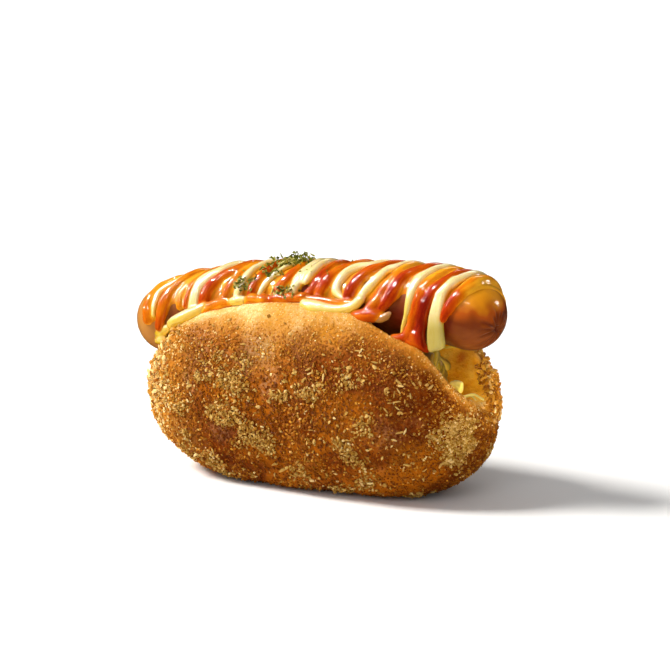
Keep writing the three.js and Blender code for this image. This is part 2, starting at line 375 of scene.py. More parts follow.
# ============================================================ materials ===
def material(name):
    m = bpy.data.materials.new(name)
    m.use_nodes = True
    nt = m.node_tree
    nt.nodes.clear()
    out = nt.nodes.new("ShaderNodeOutputMaterial")
    b = nt.nodes.new("ShaderNodeBsdfPrincipled")
    nt.links.new(b.outputs[0], out.inputs[0])
    return m, nt, b


def attr(nt, name):
    a = nt.nodes.new("ShaderNodeAttribute")
    a.attribute_name = name
    return a.outputs["Fac"]


def coords(nt):
    return nt.nodes.new("ShaderNodeTexCoord").outputs["Object"]


def tex(nt, kind, scale, detail=3.0, rough=0.55, vec=None, **kw):
    t = nt.nodes.new(kind)
    t.inputs["Scale"].default_value = scale
    if "Detail" in t.inputs:
        t.inputs["Detail"].default_value = detail
    if "Roughness" in t.inputs:
        t.inputs["Roughness"].default_value = rough
    for k, v in kw.items():
        setattr(t, k, v)
    nt.links.new(vec if vec is not None else coords(nt), t.inputs["Vector"])
    return t


def ramp(nt, fac, stops):
    r = nt.nodes.new("ShaderNodeValToRGB")
    e = r.color_ramp.elements
    while len(e) < len(stops):
        e.new(0.5)
    for el, (p, c) in zip(e, stops):
        el.position = p
        el.color = c if len(c) == 4 else (*c, 1)
    nt.links.new(fac, r.inputs["Fac"])
    return r.outputs["Color"]


def mixc(nt, fac, a, b, mode="MIX"):
    m = nt.nodes.new("ShaderNodeMix")
    m.data_type = "RGBA"
    m.blend_type = mode
    for sock, v in ((m.inputs[0], fac), (m.inputs[6], a), (m.inputs[7], b)):
        if isinstance(v, (int, float)):
            sock.default_value = v
        elif isinstance(v, tuple):
            sock.default_value = v
        else:
            nt.links.new(v, sock)
    return m.outputs[2]


def mathn(nt, op, a, b=0.0, clamp=False):
    m = nt.nodes.new("ShaderNodeMath")
    m.operation = op
    m.use_clamp = clamp
    for sock, v in ((m.inputs[0], a), (m.inputs[1], b)):
        if isinstance(v, (int, float)):
            sock.default_value = v
        else:
            nt.links.new(v, sock)
    return m.outputs[0]


def bump(nt, b, height, strength, dist):
    n = nt.nodes.new("ShaderNodeBump")
    n.inputs["Strength"].default_value = strength
    n.inputs["Distance"].default_value = dist
    nt.links.new(height, n.inputs["Height"])
    nt.links.new(n.outputs[0], b.inputs["Normal"])
    return n


def bun_material():
    m, nt, b = material("crumbed_crust")
    big = tex(nt, "ShaderNodeTexNoise", 42, 3, 0.6).outputs["Fac"]
    mid = tex(nt, "ShaderNodeTexNoise", 190, 4, 0.62).outputs["Fac"]
    fine = tex(nt, "ShaderNodeTexNoise", 760, 3, 0.6).outputs["Fac"]
    cells = tex(nt, "ShaderNodeTexVoronoi", 520).outputs["Distance"]
    # fried crust under the crumbs
    crust = ramp(nt, mathn(nt, "ADD", mathn(nt, "MULTIPLY", mid, 0.4), mathn(nt, "ADD", mathn(nt, "MULTIPLY", big, 0.3), mathn(nt, "MULTIPLY", fine, 0.3))),
                 [(0.36, lin(78, 29, 1)), (0.46, lin(103, 42, 2)), (0.54, lin(126, 56, 3)), (0.66, lin(157, 79, 6))])
    crust = mixc(nt, mathn(nt, "MULTIPLY", attr(nt, "left"), 0.85), crust, lin(238, 164, 62))
    crust = mixc(nt, mathn(nt, "MULTIPLY", attr(nt, "mauve"), 0.5), crust, lin(138, 84, 50))
    crust = mixc(nt, mathn(nt, "MULTIPLY", attr(nt, "gold"), 0.75), crust, lin(184, 102, 8))
    # smoother golden skin near the lips
    skin_c = ramp(nt, mathn(nt, "ADD", mathn(nt, "MULTIPLY", mid, 0.5), mathn(nt, "MULTIPLY", fine, 0.5)),
                  [(0.36, lin(226, 170, 84)), (0.5, lin(241, 198, 122)), (0.64, lin(251, 228, 174))])
    skin_c = mixc(nt, mathn(nt, "MULTIPLY", attr(nt, "warm"), 0.9), skin_c, lin(208, 134, 16))
    skin_c = mixc(nt, mathn(nt, "MULTIPLY", attr(nt, "right"), 0.85), skin_c, lin(222, 132, 14))
    col = mixc(nt, attr(nt, "lip"), crust, skin_c)
    # cut faces: paler crumb with toasted orange patches
    cut_c = ramp(nt, mathn(nt, "ADD", mathn(nt, "MULTIPLY", mid, 0.55), mathn(nt, "MULTIPLY", big, 0.45)),
                 [(0.36, lin(218, 126, 14)), (0.47, lin(232, 154, 30)), (0.6, lin(242, 180, 58)), (0.72, lin(250, 204, 104))])
    cut_c = mixc(nt, attr(nt, "toast"), cut_c, lin(154, 56, 0))
    col = mixc(nt, attr(nt, "cut"), col, cut_c)
    # pale pinkish dusty patches
    dust = mathn(nt, "MULTIPLY", attr(nt, "dust"), ramp(nt, fine, [(0.4, (0, 0, 0)), (0.62, (1, 1, 1))]))
    col = mixc(nt, mathn(nt, "MULTIPLY", dust, 0.7), col, lin(184, 138, 96))
    # the rim of the slit is pale and soft
    col = mixc(nt, attr(nt, "rim"), col, ramp(nt, mid, [(0.38, lin(202, 120, 28)), (0.62, lin(228, 162, 70))]))
    # painted shade: the crust is darker at the bottom of the small pits that the bump sinks
    pit_shade = ramp(nt, cells, [(0.0, (0.72, 0.62, 0.5)), (0.3, (1, 1, 1))])
    col = mixc(nt, mathn(nt, "SUBTRACT", 0.34, mathn(nt, "MULTIPLY", attr(nt, "lip"), 0.24)), col, pit_shade, "MULTIPLY")
    nt.links.new(col, b.inputs["Base Color"])
    b.inputs["Roughness"].default_value = 0.62
    b.inputs["Specular IOR Level"].default_value = 0.04
    h = mathn(nt, "ADD", mathn(nt, "MULTIPLY", mid, 0.5), mathn(nt, "ADD", mathn(nt, "MULTIPLY", fine, 0.35), mathn(nt, "MULTIPLY", cells, 0.6)))
    bump(nt, b, h, 0.55, 0.0010)
    return m


def crumb_material(name, stops, rough=0.5):
    m, nt, b = material(name)
    n = tex(nt, "ShaderNodeTexNoise", 900, 2, 0.5).outputs["Fac"]
    f = mathn(nt, "ADD", mathn(nt, "MULTIPLY", attr(nt, "tone"), 0.8), mathn(nt, "MULTIPLY", n, 0.2))
    nt.links.new(ramp(nt, f, stops), b.inputs["Base Color"])
    b.inputs["Roughness"].default_value = rough
    b.inputs["Specular IOR Level"].default_value = 0.08
    b.inputs["Subsurface Weight"].default_value = 0.12
    b.inputs["Subsurface Radius"].default_value = (1.0, 0.5, 0.2)
    b.inputs["Subsurface Scale"].default_value = 0.0008
    bump(nt, b, n, 0.4, 0.0004)
    return m


def sausage_material():
    m, nt, b = material("smoked_skin")
    big = tex(nt, "ShaderNodeTexNoise", 55, 3, 0.55).outputs["Fac"]
    v = nt.nodes.new("ShaderNodeMapping")
    v.inputs["Scale"].default_value = (0.35, 1.6, 1.6)
    nt.links.new(coords(nt), v.inputs["Vector"])
    streak = tex(nt, "ShaderNodeTexNoise", 260, 4, 0.6, vec=v.outputs[0]).outputs["Fac"]
    col = ramp(nt, mathn(nt, "ADD", mathn(nt, "MULTIPLY", big, 0.6), mathn(nt, "MULTIPLY", streak, 0.4)),
               [(0.35, lin(104, 44, 9)), (0.5, lin(124, 57, 13)), (0.66, lin(146, 73, 20))])
    # painted shade: faces turned down are darker
    col = mixc(nt, mathn(nt, "MULTIPLY", attr(nt, "underside_shade"), 0.7), col, lin(112, 54, 20))
    col = mixc(nt, mathn(nt, "MULTIPLY", attr(nt, "pale"), 0.85), col, lin(198, 134, 58))
    # amber sauce film on the top of the right end; its ramp from dark to bright follows how far the skin turns up,
    # which is painted shade and light on a real film
    glaze_and_shade = ramp(nt, attr(nt, "glaze_and_shade"), [(0.0, lin(108, 46, 6)), (0.3, lin(114, 46, 1)), (0.65, lin(168, 74, 0)), (1.0, lin(222, 142, 12))])
    col = mixc(nt, ramp(nt, attr(nt, "glaze_and_shade"), [(0.02, (0, 0, 0)), (0.22, (1, 1, 1))]), col, glaze_and_shade)
    # painted shade: dark red-brown on the skin in the deep places between the lines of sauce
    col = mixc(nt, attr(nt, "skin_shade"), col, lin(98, 20, 2))
    # painted shade: darker in the creases and the dimple at the ends
    col = mixc(nt, attr(nt, "crease_shade"), col, lin(84, 32, 10))
    nt.links.new(col, b.inputs["Base Color"])
    b.inputs["Roughness"].default_value = 0.42
    b.inputs["Specular IOR Level"].default_value = 0.12
    b.inputs["Subsurface Weight"].default_value = 0.05
    b.inputs["Subsurface Radius"].default_value = (1.0, 0.3, 0.05)
    b.inputs["Subsurface Scale"].default_value = 0.002
    b.inputs["Coat Weight"].default_value = 0.6
    b.inputs["Coat Roughness"].default_value = 0.1
    fine = tex(nt, "ShaderNodeTexNoise", 900, 3, 0.6, vec=v.outputs[0]).outputs["Fac"]
    bump(nt, b, mathn(nt, "ADD", mathn(nt, "MULTIPLY", streak, 0.6), mathn(nt, "MULTIPLY", fine, 0.4)), 0.35, 0.0005)
    return m


def flow_noise(nt, across, along, detail=2.0):
    """Noise drawn out along the lines of sauce."""
    c = nt.nodes.new("ShaderNodeCombineXYZ")
    nt.links.new(mathn(nt, "MULTIPLY", attr(nt, "across"), across), c.inputs[0])
    nt.links.new(mathn(nt, "MULTIPLY", attr(nt, "along"), along), c.inputs[1])
    return tex(nt, "ShaderNodeTexNoise", 1.0, detail, 0.55, vec=c.outputs[0]).outputs["Fac"]


def coat_ripple(nt, b, height, strength):
    """Fine ridges along the flow that break the gloss into streaks."""
    n = nt.nodes.new("ShaderNodeBump")
    n.inputs["Strength"].default_value = strength
    n.inputs["Distance"].default_value = 0.0008
    nt.links.new(height, n.inputs["Height"])
    nt.links.new(n.outputs[0], b.inputs["Coat Normal"])


def mayo_material():
    m, nt, b = material("mayonnaise_gloss")
    n = tex(nt, "ShaderNodeTexNoise", 160, 2, 0.5).outputs["Fac"]
    w = flow_noise(nt, 2.6, 0.10)
    col = ramp(nt, attr(nt, "thin"), [(0.0, lin(238, 216, 152)), (0.45, lin(230, 190, 80)), (1.0, lin(216, 150, 26))])
    pale = mathn(nt, "MULTIPLY", ramp(nt, w, [(0.48, (0, 0, 0)), (0.66, (1, 1, 1))]), 0.5)
    col = mixc(nt, pale, col, lin(244, 229, 188))
    deep = mathn(nt, "MULTIPLY", ramp(nt, w, [(0.30, (1, 1, 1)), (0.46, (0, 0, 0))]), 0.4)
    col = mixc(nt, deep, col, lin(208, 162, 48))
    # painted shade: faces turned down are tinted deep yellow
    col = mixc(nt, mathn(nt, "MULTIPLY", attr(nt, "underside_shade"), 0.9), col, lin(234, 194, 40))
    # painted shade: the lower part of the hanging ribbon is tinted darker olive
    col = mixc(nt, mathn(nt, "MULTIPLY", attr(nt, "low"), 0.8), col, lin(168, 148, 50))
    col = mixc(nt, mathn(nt, "MULTIPLY", attr(nt, "mix"), 0.8), col, lin(216, 140, 28))
    col = mixc(nt, mathn(nt, "MULTIPLY", attr(nt, "blush"), 0.8), col, lin(170, 104, 54))
    nt.links.new(col, b.inputs["Base Color"])
    b.inputs["Roughness"].default_value = 0.26
    b.inputs["Subsurface Weight"].default_value = 0.35
    b.inputs["Subsurface Radius"].default_value = (1.0, 0.7, 0.15)
    b.inputs["Subsurface Scale"].default_value = 0.0025
    b.inputs["Coat Weight"].default_value = 1.0
    b.inputs["Coat Roughness"].default_value = 0.12
    bump(nt, b, mathn(nt, "ADD", mathn(nt, "MULTIPLY", w, 0.7), mathn(nt, "MULTIPLY", n, 0.3)), 0.4, 0.0007)
    coat_ripple(nt, b, mathn(nt, "ADD", mathn(nt, "MULTIPLY", w, 0.5), mathn(nt, "MULTIPLY", flow_noise(nt, 4.6, 0.14), 0.5)), 0.08)
    return m


def ketchup_material():
    m, nt, b = material("ketchup_gloss")
    n = tex(nt, "ShaderNodeTexNoise", 140, 3, 0.5).outputs["Fac"]
    w = flow_noise(nt, 2.4, 0.09)
    f = mathn(nt, "ADD", attr(nt, "tone"), mathn(nt, "MULTIPLY", mathn(nt, "SUBTRACT", n, 0.5), 0.2))
    f = mathn(nt, "ADD", f, mathn(nt, "MULTIPLY", mathn(nt, "SUBTRACT", w, 0.5), 0.55), clamp=True)
    col = ramp(nt, f, [(0.0, lin(240, 166, 34)), (0.24, lin(220, 124, 6)), (0.48, lin(198, 84, 1)),
                       (0.72, lin(172, 48, 0)), (1.0, lin(116, 16, 0))])
    col = mixc(nt, mathn(nt, "MULTIPLY", attr(nt, "film"), 0.75), col, lin(188, 94, 3))
    nt.links.new(col, b.inputs["Base Color"])
    b.inputs["Roughness"].default_value = 0.5
    b.inputs["Specular IOR Level"].default_value = 0.03
    b.inputs["Subsurface Weight"].default_value = 0.06
    b.inputs["Subsurface Radius"].default_value = (1.0, 0.25, 0.02)
    b.inputs["Subsurface Scale"].default_value = 0.002
    b.inputs["Coat Weight"].default_value = 0.9
    b.inputs["Coat Roughness"].default_value = 0.03
    bump(nt, b, mathn(nt, "ADD", mathn(nt, "MULTIPLY", w, 0.75), mathn(nt, "MULTIPLY", n, 0.25)), 0.4, 0.0008)
    coat_ripple(nt, b, mathn(nt, "ADD", mathn(nt, "MULTIPLY", w, 0.5), mathn(nt, "MULTIPLY", flow_noise(nt, 4.6, 0.14), 0.5)), 0.08)
    return m


def shred_material(name, stops, rough=0.4):
    m, nt, b = material(name)
    n = tex(nt, "ShaderNodeTexNoise", 240, 3, 0.5).outputs["Fac"]
    f = mathn(nt, "ADD", mathn(nt, "MULTIPLY", attr(nt, "tone"), 0.75), mathn(nt, "MULTIPLY", n, 0.25))
    nt.links.new(ramp(nt, f, stops), b.inputs["Base Color"])
    b.inputs["Roughness"].default_value = rough
    b.inputs["Subsurface Weight"].default_value = 0.3
    b.inputs["Subsurface Radius"].default_value = (0.8, 1.0, 0.3)
    b.inputs["Subsurface Scale"].default_value = 0.0015
    b.inputs["Coat Weight"].default_value = 0.12
    b.inputs["Coat Roughness"].default_value = 0.15
    bump(nt, b, n, 0.3, 0.0006)
    return m


# ================================================================== bun ===
# uneven frying on the front: x, z, radii in mm, strength
DUSTY = [(-36.5, 57.5, 6.5, 3.6, 0.8), (-29.5, 53.6, 4.5, 3.0, 0.6), (-38.0, 40.5, 4.0, 3.6, 0.85), (-35.8, 48.7, 3.6, 3.6, 0.6), (-29.4, 46.2, 5.0, 2.0, 0.5),
         (-0.4, 44.0, 3.6, 7.0, 0.95), (-20.5, 52.4, 5.0, 2.4, 0.6), (47.0, 30.0, 7.0, 5.0, 0.5), (-22.0, 24.0, 6.0, 5.0, 0.6)]
MAUVE = [(3.0, 52.5, 9.0, 4.2, 0.9), (11.0, 40.5, 4.5, 3.6, 0.8), (-12.0, 46.0, 4.0, 3.0, 0.4), (-46.0, 30.0, 6.0, 5.0, 0.5), (30.0, 25.0, 7.0, 4.0, 0.5)]
GOLDEN = [(21.5, 63.5, 12.5, 6.5, 1.0), (-48.0, 44.0, 6.0, 8.0, 0.6), (38.0, 57.0, 7.0, 5.0, 0.5)]
STRAW = [(-17.4, 42.7, 6.5, 5.0, 1.0), (-30.5, 43.4, 3.8, 2.8, 0.9), (-13.6, 52.2, 3.6, 2.4, 0.9), (4.1, 39.6, 3.6, 2.4, 0.9), (16.5, 43.0, 6.5, 2.8, 0.8),
         (-24.0, 52.0, 3.0, 2.0, 0.6), (33.0, 48.0, 5.0, 3.0, 0.5), (-61.0, 46.0, 9.0, 8.0, 0.6), (-57.0, 35.0, 8.0, 6.0, 0.5)]


def patch(P, rows):
    """Soft irregular patches on the front of the roll."""
    wx = P[:, 0] + 2.4 * noise(P, 6.0, 1) + 1.0 * noise(P, 2.5, 3)
    wz = P[:, 2] + 1.9 * noise(P, 5.0, 2) + 0.8 * noise(P, 2.5, 0)
    out = np.zeros(len(P))
    for x0, z0, rx, rz, w in rows:
        out = np.maximum(out, w * np.exp(-(((wx - x0) / rx) ** 2 + ((wz - z0) / rz) ** 2) ** 1.5))
    return out * smooth(-P[:, 1], 2, 12)


def make_bun():
    g = Grid((-75, -37, -1.6), (80, 37, 76), 0.9)
    X, Y, Z = g.points()
    f = roll_field(X, Y, Z)
    gx, gy, gz = np.gradient(f, g.h)
    F = f / np.maximum(np.sqrt(gx * gx + gy * gy + gz * gz), 1e-4)
    F = np.clip(F, -12, 12)
    P3 = np.stack([X, Y, Z], -1)
    F = F - 0.9 * noise(P3, 26.0, 1) - 0.35 * noise(P3, 9.0, 2)
    F = F + 1.7 * smooth(-X, 20, 62) + 0.5 + 3.4 * smooth(X, 56, 70) * smooth(Y, -4, 8) * smooth(Z, 44, 58)
    F = F - smooth(-Y, 5, 14) * smooth(Z, 47, 57) * (0.9 * smooth(X, -62, -46) * (1 - smooth(X, 12, 26)) + 0.9 * np.exp(-((X + 45) / 11) ** 2))
    F = smax(F, -slit_field(X, Y, Z), 6.0)
    F = smax(F, 0.35 - Z, 3.0)
    P, Q = nets(g, F.astype(np.float32))
    P, Q, _ = largest_shells(P, Q, 400)
    P = relax(P, Q, 2, 0.5)
    N = normals_of(P, Q)
    sl = slit_field(P[:, 0], P[:, 1], P[:, 2])            # 0 on the cut faces
    cut = 1 - smooth(sl, 0.5, 2.6)
    cut *= smooth(P[:, 2], 36, 40)
    edge = P[:, 0] - np.where(P[:, 2] > 45, 66.3 - 0.5 * (P[:, 2] - 45), 66.3 + 1.0 * (45 - P[:, 2])) - 1.0 + 1.5 * noise(P, 4.0, 1)
    cut *= 1 - smooth(edge, -0.6, 0.8) * smooth(P[:, 1], 1, 5)
    mid = np.exp(-((P[:, 0] - 2) / 40) ** 2) * (1 - 0.5 * smooth(P[:, 0], 20, 36))
    lip = 1 - smooth(sl + 2.2 * noise(P, 7.0, 3), 2.4 + 4.6 * mid, 8.0 + (11 + 4 * smooth(-P[:, 0], -10, 10)) * mid)
    lip *= smooth(P[:, 2], 42 - 8 * smooth(P[:, 0], 30, 46), 52 - 12 * smooth(P[:, 0], 30, 46))
    lip *= (1 - 0.45 * smooth(P[:, 0], 24, 42) * smooth(-P[:, 1], 0, 4)) * (1 - smooth(edge, -3, 0) * smooth(P[:, 1], 1, 5))
    rim = (1 - smooth(sl + 0.7 * noise(P, 4.0, 2), 3.0, 5.0)) * smooth(sl, 0.6, 2.0) * smooth(P[:, 0], 26, 44) * smooth(P[:, 2], 34, 39) * smooth(-P[:, 1], -2, 3)
    dust = np.maximum(0.3 * smooth(noise(P, 15.0, 0) + 0.5 * noise(P, 5.0, 2) - 0.5, 0.1, 0.8) * (1 - lip), patch(P, DUSTY)) * (1 - cut)
    mauve = patch(P, MAUVE) * (1 - cut)
    right = smooth(P[:, 0], 24, 42) * smooth(-P[:, 1], 2, 10)
    gold = np.maximum(patch(P, GOLDEN), 0.8 * smooth(fbm(P, 20.0, 2, 3), 0.12, 0.4))
    gold *= 1 - cut
    warm = np.maximum(gold, 0.75 * smooth(P[:, 0] + 5 * noise(P, 8.0, 0), -4, 12) * smooth(-P[:, 1], 14, 19))
    warm = np.maximum(warm, 0.45 * smooth(P[:, 1], 2, 8)) * (1 - cut)
    spots = [(57.0, 17.0, 50.6, 5.0, 1.0), (48.0, 17.0, 56.0, 5.0, 0.4), (64.0, 16.0, 42.0, 3.0, 0.5), (-52.0, 17.0, 52.0, 5.0, 0.6), (-58.0, -16.0, 49.0, 4.0, 0.6)]
    toast = np.zeros(len(P))
    for x0, y0, z0, r0, w0 in spots:
        d2 = ((P[:, 0] - x0) ** 2 + (P[:, 1] - y0) ** 2 + (P[:, 2] - z0) ** 2) / r0 ** 2
        toast = np.maximum(toast, w0 * np.exp(-d2 * (1 + 0.5 * noise(P, 3.0, 1))))
    # relief of the skin: pits near the lips, coarser crust lower down
    rough = (1 - 0.65 * np.maximum(np.maximum(lip, rim), cut)) * (0.30 * noise(P, 2.6, 1) + 0.16 * noise(P, 1.5, 2))
    P = P + N * rough[:, None]
    P[:, 2] = np.maximum(P[:, 2], 0.0)
    ob = mesh_object("bun_crust", P, Q, True, {"cut": cut, "lip": lip, "dust": dust, "toast": toast, "mauve": mauve, "gold": gold, "rim": rim, "right": right, "warm": warm,
                                                  "left": smooth(-P[:, 0], 26, 66)}, bun_material())
    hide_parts("bun")
    return P, Q, N, cut, np.maximum(lip, 0.55 * rim), dust, np.clip(warm + 0.6 * right, 0, 1) * (1 - 0.8 * rim)


def icosahedron():
    t = (1 + 5 ** 0.5) / 2
    v = np.array([(-1, t, 0), (1, t, 0), (-1, -t, 0), (1, -t, 0), (0, -1, t), (0, 1, t), (0, -1, -t), (0, 1, -t),
                  (t, 0, -1), (t, 0, 1), (-t, 0, -1), (-t, 0, 1)], float)
    v /= np.linalg.norm(v[0])
    f = np.array([(0, 11, 5), (0, 5, 1), (0, 1, 7), (0, 7, 10), (0, 10, 11), (1, 5, 9), (5, 11, 4), (11, 10, 2), (10, 7, 6),
                  (7, 1, 8), (3, 9, 4), (3, 4, 2), (3, 2, 6), (3, 6, 8), (3, 8, 9), (4, 9, 5), (2, 4, 11), (6, 2, 10), (8, 6, 7), (9, 8, 1)])
    return v, f


def icosphere(level):
    v, f = icosahedron()
    for _ in range(level):
        new, out, seen = list(v), [], {}

        def half(a, b):
            key = (min(a, b), max(a, b))
            if key not in seen:
                seen[key] = len(new)
                m = (new[a] + new[b]) / 2
                new.append(m / np.linalg.norm(m))
            return seen[key]
        for a, b, c in f:
            ab, bc, ca = half(a, b), half(b, c), half(c, a)
            out += [(a, ab, ca), (b, bc, ab), (c, ca, bc), (ab, bc, ca)]
        v, f = np.array(new), np.array(out)
    return v, f


def octahedron():
    v = np.array([(1, 0, 0), (-1, 0, 0), (0, 1, 0), (0, -1, 0), (0, 0, 1), (0, 0, -1)], float)
    f = np.array([(0, 2, 4), (2, 1, 4), (1, 3, 4), (3, 0, 4), (2, 0, 5), (1, 2, 5), (3, 1, 5), (0, 3, 5)])
    return v, f


def chip():
    """Five-sided double pyramid: a small crumb of ten faces."""
    a = np.arange(5) * 2 * np.pi / 5
    v = np.vstack([np.column_stack([np.cos(a), np.sin(a), np.zeros(5)]), [(0, 0, 0.95), (0, 0, -0.95)]])
    i, j = np.arange(5), (np.arange(5) + 1) % 5
    return v, np.vstack([np.column_stack([i, j, np.full(5, 5)]), np.column_stack([j, i, np.full(5, 6)])])


def random_rotations(rng, n):
    q = rng.normal(size=(n, 4))
    q /= np.linalg.norm(q, axis=1, keepdims=True)
    w, x, y, z = q.T
    return np.stack([np.stack([1 - 2 * (y * y + z * z), 2 * (x * y - z * w), 2 * (x * z + y * w)], -1),
                     np.stack([2 * (x * y + z * w), 1 - 2 * (x * x + z * z), 2 * (y * z - x * w)], -1),
                     np.stack([2 * (x * z - y * w), 2 * (y * z + x * w), 1 - 2 * (x * x + y * y)], -1)], 1)


def scatter_on(rng, P, Q, N, weight, n):
    a = np.cross(P[Q[:, 2]] - P[Q[:, 0]], P[Q[:, 3]] - P[Q[:, 1]])
    area = 0.5 * np.linalg.norm(a, axis=1) * weight[Q].mean(1)
    c = np.cumsum(area)
    k = np.searchsorted(c, rng.random(n) * c[-1])
    u, v = rng.random(n), rng.random(n)
    w = np.stack([(1 - u) * (1 - v), u * (1 - v), u * v, (1 - u) * v], 1)
    pos = np.einsum("nk,nkd->nd", w, P[Q[k]])
    nor = np.einsum("nk,nkd->nd", w, N[Q[k]])
    nor /= np.maximum(np.linalg.norm(nor, axis=1, keepdims=True), 1e-9)
    return pos, nor, k, w


def crumbs(name, rng, pos, nor, size, shape, jag, sink, tone, mat, base=None, squash=1.0):
    v, f = base or icosahedron()
    n, k = len(pos), len(v)
    S = np.stack([size * shape[0] * rng.uniform(0.8, 1.25, n), size * shape[1] * rng.uniform(0.7, 1.3, n),
                  size * shape[2] * rng.uniform(0.7, 1.3, n)], -1) * 0.5
    V = v[None] * (1 + jag * rng.uniform(-1, 1, (n, k)))[..., None] * S[:, None, :]
    # lie roughly flat: local z to the normal, with a random tilt
    Rr = random_rotations(rng, n)
    V = np.einsum("nij,nkj->nki", Rr, V)
    flat = rng.uniform(0.62, 0.95, n) * squash
    h = np.einsum("nki,ni->nk", V, nor)
    V = V - (1 - flat)[:, None, None] * h[..., None] * nor[:, None, :]
    V = V + (pos + nor * (size * sink)[:, None])[:, None, :]
    V = V.reshape(-1, 3)
    V[:, 2] = np.maximum(V[:, 2], 0.0)
    F = (f[None] + (np.arange(n) * k)[:, None, None]).reshape(-1, 3)
    return mesh_object(name, V, F, False, {"tone": np.repeat(tone, k)}, mat)


def make_crumbs(P, Q, N, cut, lip, dust, gold_skin):
    rng = np.random.default_rng(5)
    free = (1 - cut) * np.where(P[:, 2] < 0.4, 0.0, 1.0) * smooth(P[:, 2], 0.2, 3.0) * (0.55 + 0.45 * smooth(P[:, 2], 8, 24))
    ends = 1 + 0.7 * smooth(np.abs(P[:, 0] - BUN_X), 56, 70)
    bare = smooth(fbm(P, 11.0, 2, 2), -0.22, 0.12)          # smooth amber gaps between the crumbs
    straw = np.maximum(patch(P, STRAW), 0.8 * smooth(fbm(P, 10.0, 2, 1), 0.16, 0.36) * smooth(-P[:, 2], -40, -30)) * (1 - lip)
    gold = crumb_material("panko_gold", [(0.0, lin(84, 36, 2)), (0.28, lin(118, 58, 5)), (0.52, lin(160, 92, 15)), (0.72, lin(206, 140, 42)), (0.94, lin(252, 222, 152))])
    pale = crumb_material("panko_straw", [(0.0, lin(104, 64, 12)), (0.35, lin(156, 108, 34)), (0.7, lin(204, 162, 84)), (1.0, lin(240, 214, 152))])

    def side(pos):
        return smooth(-pos[:, 0], 30, 66), 1 - smooth(pos[:, 2], 30, 56)

    def middle(pos):
        return smooth(pos[:, 0], -38, -14) * (1 - smooth(pos[:, 0], 14, 34))

    # rounded crumbs all over the crust
    n = 17000
    pos, nor, k, w = scatter_on(rng, P, Q, N, free * (1 - 0.62 * lip) * ends * (0.5 + 0.5 * bare) * (1 - 0.5 * dust), n)
    left, low = side(pos)
    lp = np.einsum("nk,nk->n", w, lip[Q[k]])
    gd = np.einsum("nk,nk->n", w, gold_skin[Q[k]])
    fore = smooth(pos[:, 0], 14, 40) * smooth(-pos[:, 1], -2, 4)          # finer towards the mouth of the bun
    size = rng.uniform(0.7, 1.35, n) * (1 + 0.45 * smooth(np.abs(pos[:, 0] - BUN_X), 52, 70) * (1 - fore)) * (1 + 0.25 * low) * (1 - 0.18 * fore) * (1 - 0.25 * lp)
    # the lower crumbs are toned darker (- 0.10 * low): painted shade towards the bottom
    tone = 0.33 + 0.25 * np.abs(rng.normal(0, 1, n)) + 0.16 * (rng.random(n) < 0.2) + 0.18 * noise(pos, 11.0, 2) - 0.03 - 0.05 * middle(pos) - 0.10 * low - 0.05 * fore + 0.50 * left - 0.05 * smooth(pos[:, 0], -12, 6)
    tone = np.clip(np.maximum(tone * (1 - 0.6 * lp) + lp * (0.86 - 0.28 * gd), 0.70 * smooth(lp, 0.3, 0.8)), 0, 1.12)
    crumbs("crumbs_round", rng, pos, nor, size, (1.15, 0.9, 0.75), 0.20, 0.12 - 0.09 * lp, tone, gold, chip(), 1 - 0.62 * lp)
    # heaped straw-coloured chips
    n = 7200
    pos, nor, k, w = scatter_on(rng, P, Q, N, free * (0.015 * (1 - lip) + straw) * ends, n)
    size = rng.uniform(0.8, 1.75, n)
    lift = rng.random(n) ** 2 * 0.5
    tone = np.clip(rng.normal(0.48, 0.24, n) + 0.32 * smooth(-pos[:, 0], 40, 60), 0.24, 1)
    crumbs("crumbs_chips", rng, pos + nor * lift[:, None], nor, size, (1.2, 0.85, 0.65), 0.30, 0.12, tone, pale, chip())
    # fine crumbs
    n = 22000
    pos, nor, k, w = scatter_on(rng, P, Q, N, free * np.maximum(0.55 + 0.45 * bare, 0.9 * lip), n)
    lp = np.einsum("nk,nk->n", w, lip[Q[k]])
    left, low = side(pos)
    gd = np.einsum("nk,nk->n", w, gold_skin[Q[k]])
    size = rng.uniform(0.45, 1.0, n) * (1 - 0.2 * lp)
    # the lower crumbs are toned darker (- 0.10 * low): painted shade towards the bottom
    tone = np.clip(0.28 + np.abs(rng.normal(0, 1, n)) * 0.12 + 0.36 * (rng.random(n) < 0.18) * (1 - lp) + 0.12 * noise(pos, 9.0, 0) * (1 - lp) + (0.76 - 0.30 * gd) * lp - (0.03 + 0.05 * middle(pos)) * (1 - lp) - 0.10 * low + 0.50 * left, 0, 1.12)
    crumbs("crumbs_fine", rng, pos, nor, size, (1.15, 0.9, 0.8), 0.22, 0.12 - 0.08 * lp, tone, gold, octahedron(), 1 - 0.55 * lp)
    # big ragged crumbs that stand out at both ends
    n = 620
    wt = smooth(P[:, 0], 56, 64) * smooth(P[:, 1], 2, 6) * smooth(P[:, 2], 28, 38) * 1.6 + smooth(-P[:, 0], 46, 58) * smooth(P[:, 2], 18, 30) * 0.5
    pos, nor, k, w = scatter_on(rng, P, Q, N, free * (1 - lip) * wt, n)
    left, low = side(pos)
    size = rng.uniform(1.4, 2.7, n)
    tone = np.clip(rng.normal(0.56, 0.16, n) + 0.30 * left + 0.12 * smooth(pos[:, 0], 50, 60), 0, 1)
    crumbs("crumbs_ragged", rng, pos + nor * (0.7 * rng.random(n) ** 1.5)[:, None], nor, size, (1.25, 0.75, 0.6), 0.34, 0.16, tone, gold)
